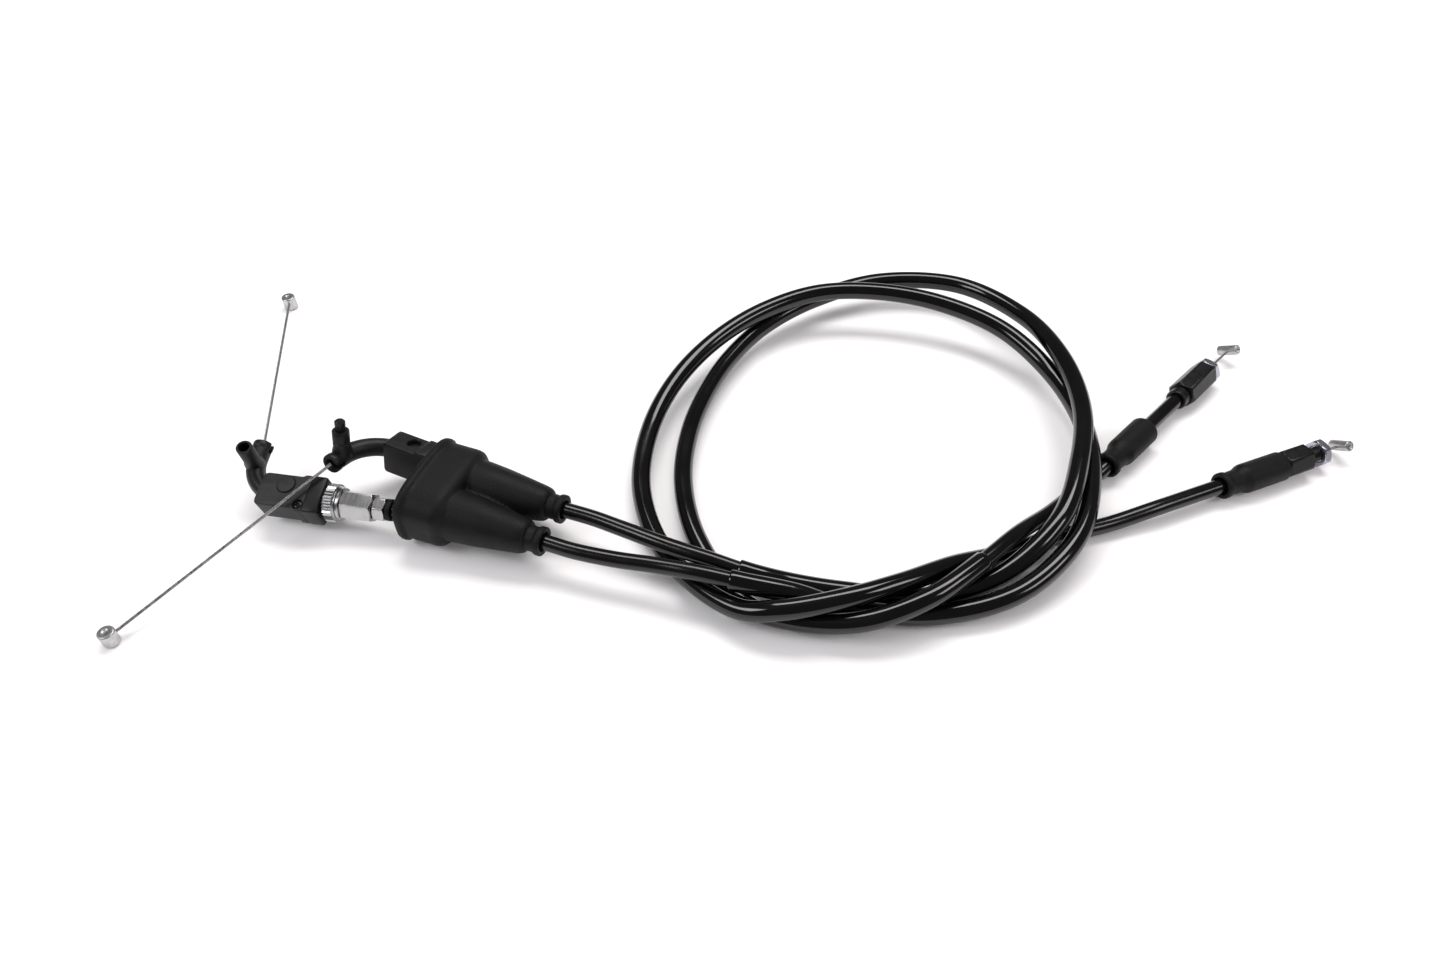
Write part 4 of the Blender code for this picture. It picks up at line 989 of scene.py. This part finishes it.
socket = turnedMesh("blockSocket", sized(returnBlock["socketRows"]), socketPlace)
block = reshaded(carved("returnGuideBlock", block, [socket]), sharpAt["block"])
addPiece("returnGuideBlock", block, elbowNylon, "cables", "block_plastic", "return_guide_block")
ferruleRows = eased(returnBlock["ferrule"], returnBlock["ferruleRound"], loop=True)
addTurned("returnFerrule", sized(ferruleRows), returnGuide, returnZinc, "cables", "zinc",
          "return_casing_ferrule")
print("return guide done")

# lock ring: turned body, its knurl laid round it by a node tree
lockRing = {
    "body": [(-2.4, 3.8), (-2.4, 5.4), (-2.2, 5.6), (-1.9, 5.6), (-1.9, 6.2), (-1.6, 6.6), (1.6, 6.6),
             (1.9, 6.2), (2.2, 6.2), (2.4, 6.0), (2.4, 3.8)],
    "sides": 88,
    "ridges": 36,
    "ridgeCentre": 6.6,
    "ridgeWidth": 0.92,
    "ridgeLength": 3.3,
    "ridgeTurn": 45.0,  # degrees, which puts an edge outwards
}


def nodeTree(name, inputs):
    tree = bpy.data.node_groups.new(name, "GeometryNodeTree")
    tree.is_modifier = True
    tree.interface.new_socket(name="Geometry", in_out="INPUT", socket_type="NodeSocketGeometry")
    for label, kind in inputs:
        tree.interface.new_socket(name=label, in_out="INPUT", socket_type=kind)
    tree.interface.new_socket(name="Geometry", in_out="OUTPUT", socket_type="NodeSocketGeometry")
    return tree, tree.nodes.new("NodeGroupInput").outputs, tree.nodes.new("NodeGroupOutput")


def addNode(tree, kind, settings=None, **links):
    # a node with its properties, and its inputs linked or set by socket name
    node = tree.nodes.new(kind)
    for key, value in (settings or {}).items():
        setattr(node, key, value)
    for label, value in links.items():
        socket = node.inputs[label.replace("_", " ")]
        if isinstance(value, bpy.types.NodeSocket):
            tree.links.new(value, socket)
        else:
            socket.default_value = value
    return node


def endTree(tree, geometry, material, out):
    real = addNode(tree, "GeometryNodeRealizeInstances", Geometry=geometry)
    painted = addNode(tree, "GeometryNodeSetMaterial", Geometry=real.outputs[0], Material=material)
    tree.links.new(painted.outputs[0], out.inputs["Geometry"])


def grown(name, tree, values):
    # the plain mesh that a node tree makes with these values
    piece = helper(name, bpy.data.meshes.new(name))
    modifier = piece.modifiers.new("grow", "NODES")
    modifier.node_group = tree
    for item in tree.interface.items_tree:
        if item.in_out == "INPUT" and item.name in values:
            modifier[item.identifier] = values[item.name]
    return solved(piece)


def knurlTree():
    tree, entry, out = nodeTree("knurlRidges", [
        ("Count", "NodeSocketInt"), ("Material", "NodeSocketMaterial"), ("Radius", "NodeSocketFloat"),
        ("Ridge Width", "NodeSocketFloat"), ("Ridge Length", "NodeSocketFloat"),
    ])
    ring = addNode(tree, "GeometryNodeMeshCircle", Vertices=entry["Count"], Radius=entry["Radius"])
    size = addNode(tree, "ShaderNodeCombineXYZ", X=entry["Ridge Width"], Y=entry["Ridge Width"],
                   Z=entry["Ridge Length"])
    cube = addNode(tree, "GeometryNodeMeshCube", Size=size.outputs[0])
    edgeOut = Euler((0, 0, math.radians(lockRing["ridgeTurn"])))
    ridge = addNode(tree, "GeometryNodeTransform", Geometry=cube.outputs["Mesh"], Rotation=edgeOut)
    where = addNode(tree, "GeometryNodeInputPosition")
    facing = addNode(tree, "FunctionNodeAlignRotationToVector", {"axis": "X"}, Vector=where.outputs[0])
    laid = addNode(tree, "GeometryNodeInstanceOnPoints", Points=ring.outputs["Mesh"],
                   Instance=ridge.outputs[0], Rotation=facing.outputs[0])
    endTree(tree, laid.outputs[0], entry["Material"], out)
    return tree


ridges = grown("ringKnurl", knurlTree(), {
    "Count": lockRing["ridges"], "Material": guideZinc, "Radius": lockRing["ridgeCentre"] * mm,
    "Ridge Width": lockRing["ridgeWidth"] * mm, "Ridge Length": lockRing["ridgeLength"] * mm,
})
ridges.transform(pullGuide @ Matrix.Rotation(math.pi / 2, 4, "Y"))
ringBody = turnedMesh("ringBody", sized(lockRing["body"]), pullGuide, lockRing["sides"])
addPiece("knurledLockRing", joined("knurledLockRing", [ringBody, ridges]), guideZinc, "lock_ring", "zinc",
         "pull_lock_ring")
print("lock ring done")

# adjuster, its threaded stem, and the ferrule and seal that follow it
adjuster = {
    "flange": [(2.7, 3.8), (2.7, 5.9), (2.9, 6.2), (3.7, 6.2), (3.9, 6.0)],
    "hexagon": (3.9, 16.0, 5.0),
    "bore": 3.8,
    "hexSides": 96,
    "stem": (-8.6, 9.6, 3.45, 1.0, 0.45),  # start, end, radius, pitch and depth of its thread
    "stemEnds": (0.5, 0.4),
    "stemBore": 1.2,
    "stemSides": 48,
    "nose": [(11.0, 1.2), (11.0, 3.3), (11.2, 3.5), (16.3, 3.5)],
    "ferrule": (16.3, 20.9, 4.1),
    "ferruleBore": [(20.9, 3.1), (18.0, 3.1), (18.0, 1.2)],
    "seal": [(21.1, 3.05), (21.1, 4.15), (23.2, 4.15), (23.2, 3.05)],
    "sealRound": 0.7,
}


def hexSized(start, end, flat, **options):
    return hexRows(start * mm, end * mm, flat * mm, **options)


def threadSized(start, end, radius, pitch, depth):
    return threadRows(start * mm, end * mm, radius * mm, pitch * mm, depth * mm)


rows = sized(adjuster["flange"]) + hexSized(*adjuster["hexagon"])
rows += sized([(adjuster["hexagon"][1], adjuster["bore"])])
addTurned("hexAdjuster", rows, pullGuide, guideZinc, "adjuster", "zinc", "pull_adjuster",
          adjuster["hexSides"])
start, end, radius, _, depth = adjuster["stem"]
start -= adjuster["stemEnds"][0]
end += adjuster["stemEnds"][1]
rows = sized([(start, adjuster["stemBore"]), (start, radius - depth)]) + threadSized(*adjuster["stem"])
rows += sized([(end, radius - depth), (end, adjuster["stemBore"])])
addTurned("guideStem", rows, pullGuide, guideZinc, "pull_guide", "zinc", "pull_guide_stem",
          adjuster["stemSides"])
rows = sized(adjuster["nose"]) + hexSized(*adjuster["ferrule"]) + sized(adjuster["ferruleBore"])
addTurned("hexFerrule", rows, pullGuide, guideZinc, "cables", "zinc", "pull_casing_ferrule",
          adjuster["hexSides"])
rows = sized(eased(adjuster["seal"], adjuster["sealRound"], loop=True))
addTurned("sealRing", rows, pullGuide, bootRubber, "cables", "boot_rubber", "pull_seal_ring")
print("adjuster and ferrule done")

# carburettor ends: crimp, hexagonal fitting with its thread, and lock nut
carbEnds = {
    "flat": 5.25,
    "hexSlope": 0.7,
    "hexFace": 0.94,
    "hexSides": 96,
    "thread": 3.0,
    "pitch": 1.0,
    "threadDepth": 0.42,
    "threadGaps": (0.1, 0.5),  # from the hexagon, and from the tip
    "tip": (0.35, 0.2),
    "bore": 1.2,
    "nutFlat": 5.0,
    "nutFace": 0.95,
    "nutWidth": 3.2,
    "nutBore": 3.25,
    "nutChamfer": 0.3,
    "crimp": 4.3,
    "crimpBore": 3.05,
    "crimpFront": -0.3,
    "crimpFloor": -2.0,
    "crimpRound": 0.4,
    "pull": {"hexagon": 12.0, "end": 20.6, "nut": 17.3, "crimpBack": -14.3},
    "return": {"hexagon": 20.0, "end": 24.5, "nut": 20.3, "crimpBack": -4.7},
}


def fittingRows(settings):
    hexagon = settings["hexagon"]
    end = settings["end"]
    thin = carbEnds["thread"] - carbEnds["threadDepth"]
    lead, back = carbEnds["threadGaps"]
    tip, drop = carbEnds["tip"]
    rows = sized([(0, carbEnds["bore"])])
    rows += hexSized(0, hexagon, carbEnds["flat"], slope=carbEnds["hexSlope"], face=carbEnds["hexFace"])
    rows += sized([(hexagon, thin)])
    rows += threadSized(hexagon + lead, end - back, carbEnds["thread"], carbEnds["pitch"],
                        carbEnds["threadDepth"])
    return rows + sized([(end - tip, thin), (end, thin - drop), (end, carbEnds["bore"])])


def nutRows(start):
    end = start + carbEnds["nutWidth"]
    bore = carbEnds["nutBore"]
    edge = carbEnds["nutChamfer"]
    rows = sized([(start + edge, bore), (start, bore + edge)])
    rows += hexSized(start, end, carbEnds["nutFlat"], face=carbEnds["nutFace"])
    return rows + sized([(end, bore + edge), (end - edge, bore)])


def crimpRows(back):
    front = carbEnds["crimpFront"]
    floor = carbEnds["crimpFloor"]
    rows = [(back, carbEnds["crimpBore"]), (back, carbEnds["crimp"]), (front, carbEnds["crimp"]),
            (front, carbEnds["bore"]), (floor, carbEnds["bore"]), (floor, carbEnds["crimpBore"])]
    return sized(eased(rows, carbEnds["crimpRound"], loop=True))


for side, line, black, zinc in (("pull", pullCarb, pullBlack, pullNutZinc),
                                ("return", returnCarb, returnBlack, returnNutZinc)):
    settings = carbEnds[side]
    addTurned(f"{side}Fitting", fittingRows(settings), line, black, "cables", "black_steel",
              f"{side}_carb_fitting", carbEnds["hexSides"])
    addTurned(f"{side}Nut", nutRows(settings["nut"]), line, zinc, f"{side}_nut", "zinc",
              f"{side}_lock_nut", carbEnds["hexSides"])
    addTurned(f"{side}Crimp", crimpRows(settings["crimpBack"]), line, black, "cables", "black_steel",
              f"{side}_carb_ferrule")
print("carburettor fittings done")

# carburettor boots
carbBoot = {
    "rows": [(0, 3.6), (0, 5.2), (2.4, 5.2), (3.0, 4.6), (8.0, 4.7), (11.0, 5.9), (29.0, 5.9), (29.6, 5.5),
             (29.6, 4.6), (11.0, 4.6), (8.0, 3.6)],
    "round": 0.9,
    "sides": 72,
    "pullBack": -29.9,
    "returnBack": -59.6,
}
bootRows = eased(carbBoot["rows"], carbBoot["round"], loop=True)
for side, line in (("pull", pullCarb), ("return", returnCarb)):
    rows = [(carbBoot[f"{side}Back"] + x, radius) for x, radius in bootRows]
    addTurned(f"{side}CarbBoot", sized(rows), line, bootRubber, f"{side}_boot", "boot_rubber",
              f"{side}_carb_boot", carbBoot["sides"], sharpAt["soft"])
print("carburettor boots done")

# double boot: flat collar with a lip, two tapering fingers melted into it, and ringed necks
doubleBoot = {
    # x, half width, half height
    "collar": [(-55.0, 20.6, 12.4), (-54.6, 21.2, 13.0), (-52.2, 21.3, 13.1), (-51.6, 20.2, 12.0),
               (-46.0, 20.2, 12.0), (-40.2, 20.2, 12.0), (-38.4, 19.8, 11.7), (-37.0, 18.6, 10.6),
               (-36.2, 16.8, 8.9)],
    "collarSides": 96,
    "squareness": 0.62,
    "pitch": 8.3,
    "finger": [(-40.0, 0), (-40.0, 9.9), (-34.0, 9.7), (-26.0, 9.0), (-15.0, 7.6), (-9.0, 6.8), (-7.0, 6.3),
               (-6.0, 5.2), (-5.8, 0)],
    "fingerRound": 1.2,
    "neck": [(-7.5, 3.6), (-7.5, 4.9), (-3.2, 4.7), (-2.2, 5.5), (-0.1, 5.5), (-0.1, 3.6)],
    "neckRound": 0.5,
    "neckSides": 56,
    "hollow": [(-58.0, 17.7, 9.5), (-38.5, 17.7, 9.5), (-36.0, 15.1, 7.0)],
    "hollowSides": 64,
    "fingerHollow": [(-38.5, 0), (-38.5, 7.0), (-8.5, 3.7), (-6.0, 3.6), (3.0, 3.6), (3.0, 0)],
    "fingerHollowSides": 48,
    "voxel": 0.62,
    "smooth": 4,
    "smoothShare": 0.5,
}


def bootLoft(name, stations, sides):
    shape = bmesh.new()
    power = doubleBoot["squareness"]
    rings = []
    for x, wide, high in stations:
        ring = []
        for k in range(sides):
            angle = 2 * math.pi * k / sides
            y = math.copysign(abs(math.cos(angle)) ** power, math.cos(angle)) * wide
            z = math.copysign(abs(math.sin(angle)) ** power, math.sin(angle)) * high
            ring.append(shape.verts.new(Vector((x, y, z)) * mm))
        rings.append(ring)
    joinRings(shape, rings, loop=False)
    shape.faces.new(rings[0])
    shape.faces.new(rings[-1])
    return toMesh(name, shape, bootLine)


def doubleBootMesh():
    solids = [bootLoft("bootCollar", doubleBoot["collar"], doubleBoot["collarSides"])]
    hollows = [bootLoft("bootHollow", doubleBoot["hollow"], doubleBoot["hollowSides"])]
    necks = []
    fingerRows = sized(eased(doubleBoot["finger"], doubleBoot["fingerRound"]))
    hollowRows = sized(doubleBoot["fingerHollow"])
    neckRows = sized(eased(doubleBoot["neck"], doubleBoot["neckRound"], loop=True))
    for word, way in (("pull", -1), ("return", 1)):
        place = bootLine @ at(0, way * doubleBoot["pitch"], 0)
        solids.append(turnedMesh(f"{word}Finger", fingerRows, place))
        hollows.append(turnedMesh(f"{word}Hollow", hollowRows, place, doubleBoot["fingerHollowSides"]))
        necks.append(turnedMesh(f"{word}Neck", neckRows, place, doubleBoot["neckSides"]))
    piece = helper("doubleBoot", joined("doubleBoot", solids))
    melt = piece.modifiers.new("melt", "REMESH")
    melt.mode = "VOXEL"
    melt.voxel_size = doubleBoot["voxel"] * mm
    soft = piece.modifiers.new("soft", "SMOOTH")
    soft.factor = doubleBoot["smoothShare"]
    soft.iterations = doubleBoot["smooth"]
    hollowed = carved("doubleBoot", solved(piece), hollows)
    return joined("doubleBoot", [hollowed, *necks], sharpAt["soft"])


addPiece("doubleBoot", doubleBootMesh(), bootRubber, "double_boot", "boot_rubber", "double_boot")
print("double boot done")

# inner wires: six strands laid round a seventh by a node tree
wires = {
    "strandRadius": 0.2,
    "strandSides": 7,
    "layRadius": 0.4,
    "pitch": 7.0,
    "step": 0.5,
    "strands": 6,
    "pullMouth": (-197.372, -13.567, 16.578),
    "returnMouth": (-166.018, -29.395, 21.716),
    "pullNipple": (-222.2, 94.4, 3.2),
    "returnNipple": (-231.2, -94.4, 3.2),
    "travel": 30.0,
    "carbTail": -16.0,
    "pullReach": 30.4,
    "returnReach": 41.8,
}


def strandTree():
    sizes = ("Strand Radius", "Lay Radius", "Pitch", "Step")
    tree, entry, out = nodeTree("strandedWire", [
        ("Start", "NodeSocketVector"), ("End", "NodeSocketVector"), ("Strands", "NodeSocketInt"),
        ("Material", "NodeSocketMaterial"), *[(label, "NodeSocketFloat") for label in sizes],
    ])
    line = addNode(tree, "GeometryNodeCurvePrimitiveLine", Start=entry["Start"], End=entry["End"])
    fine = addNode(tree, "GeometryNodeResampleCurve", {"mode": "LENGTH"}, Curve=line.outputs[0],
                   Length=entry["Step"])
    copies = addNode(tree, "GeometryNodeDuplicateElements", {"domain": "SPLINE"}, Geometry=fine.outputs[0],
                     Amount=entry["Strands"])
    along = addNode(tree, "GeometryNodeSplineParameter").outputs["Length"]
    turns = mathNode(tree, "DIVIDE", along, entry["Pitch"])
    share = mathNode(tree, "DIVIDE", copies.outputs["Duplicate Index"], entry["Strands"])
    angle = mathNode(tree, "MULTIPLY", mathNode(tree, "ADD", turns, share), 2 * math.pi)
    normal = addNode(tree, "GeometryNodeInputNormal").outputs[0]
    tangent = addNode(tree, "GeometryNodeInputTangent").outputs[0]
    turned = addNode(tree, "ShaderNodeVectorRotate", Vector=normal, Axis=tangent, Angle=angle)
    offset = addNode(tree, "ShaderNodeVectorMath", {"operation": "SCALE"}, Vector=turned.outputs[0],
                     Scale=entry["Lay Radius"])
    laid = addNode(tree, "GeometryNodeSetPosition", Geometry=copies.outputs[0], Offset=offset.outputs[0])
    both = addNode(tree, "GeometryNodeJoinGeometry")
    tree.links.new(laid.outputs[0], both.inputs[0])
    tree.links.new(fine.outputs[0], both.inputs[0])
    section = addNode(tree, "GeometryNodeCurvePrimitiveCircle", Resolution=wires["strandSides"],
                      Radius=entry["Strand Radius"])
    solid = addNode(tree, "GeometryNodeCurveToMesh", Curve=both.outputs[0], Profile_Curve=section.outputs[0],
                    Fill_Caps=True)
    endTree(tree, solid.outputs[0], entry["Material"], out)
    return tree


strandedWire = strandTree()


def wireMesh(name, start, end):
    mesh = grown(name, strandedWire, {
        "Start": start, "End": end, "Strands": wires["strands"], "Material": strandSteel,
        "Strand Radius": wires["strandRadius"] * mm, "Lay Radius": wires["layRadius"] * mm,
        "Pitch": wires["pitch"] * mm, "Step": wires["step"] * mm,
    })
    return reshaded(mesh, sharpAt["soft"])


# nipples: throttle barrels stand upright, carburettor barrels lie across their wires
nipples = {
    "throttle": [(-3.0, 0), (-3.0, 2.65), (-2.65, 3.0), (2.65, 3.0), (3.0, 2.65), (3.0, 1.2), (2.75, 0.9),
                 (2.7, 0)],
    "carb": [(-3.7, 0), (-3.7, 0.9), (-4.4, 1.15), (-4.4, 1.85), (-4.1, 2.15), (4.1, 2.15), (4.4, 1.85),
             (4.4, 1.15), (3.7, 0.9), (3.7, 0)],
    "round": 0.2,
    "pullAxis": (0.29, -0.73, 0.62),
    "returnAxis": (0.59, -0.60, 0.55),
}
gripRows = sized(eased(nipples["throttle"], nipples["round"]))
carbRows = sized(eased(nipples["carb"], nipples["round"]))
for side, line, body in (("pull", pullCarb, "pull_guide"), ("return", returnCarb, "cables")):
    mouth = Vector(wires[f"{side}Mouth"]) * mm
    centre = Vector(wires[f"{side}Nipple"]) * mm
    addTurned(f"{side}GripNipple", gripRows, Matrix.Translation(centre) @ standUp, nippleZinc,
              f"{side}_grip_nipple", "zinc", f"{side}_throttle_nipple")
    wire = addPiece(f"{side}GripWire", wireMesh(f"{side}GripWire", mouth, centre), strandSteel, body,
                    "strand", f"{side}_throttle_wire")
    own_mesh(wire)
    start, end = onLine(line, (wires["carbTail"], wires[f"{side}Reach"]))
    addPiece(f"{side}CarbWire", wireMesh(f"{side}CarbWire", start, end), strandSteel, f"{side}_carb_end",
             "strand", f"{side}_carb_wire")
    turn = Vector((1, 0, 0)).rotation_difference(Vector(nipples[f"{side}Axis"])).to_matrix().to_4x4()
    addTurned(f"{side}CarbNipple", carbRows, Matrix.Translation(end) @ turn, nippleZinc, f"{side}_carb_end",
              "zinc", f"{side}_carb_nipple")
    # the hidden wires stay as they were built
    for word in ("core", "elbow"):
        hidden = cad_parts[f"{side}_{word}_wire"]
        hidden.data.materials.clear()
        hidden.data.materials.append(strandSteel)
print("wires and nipples done")
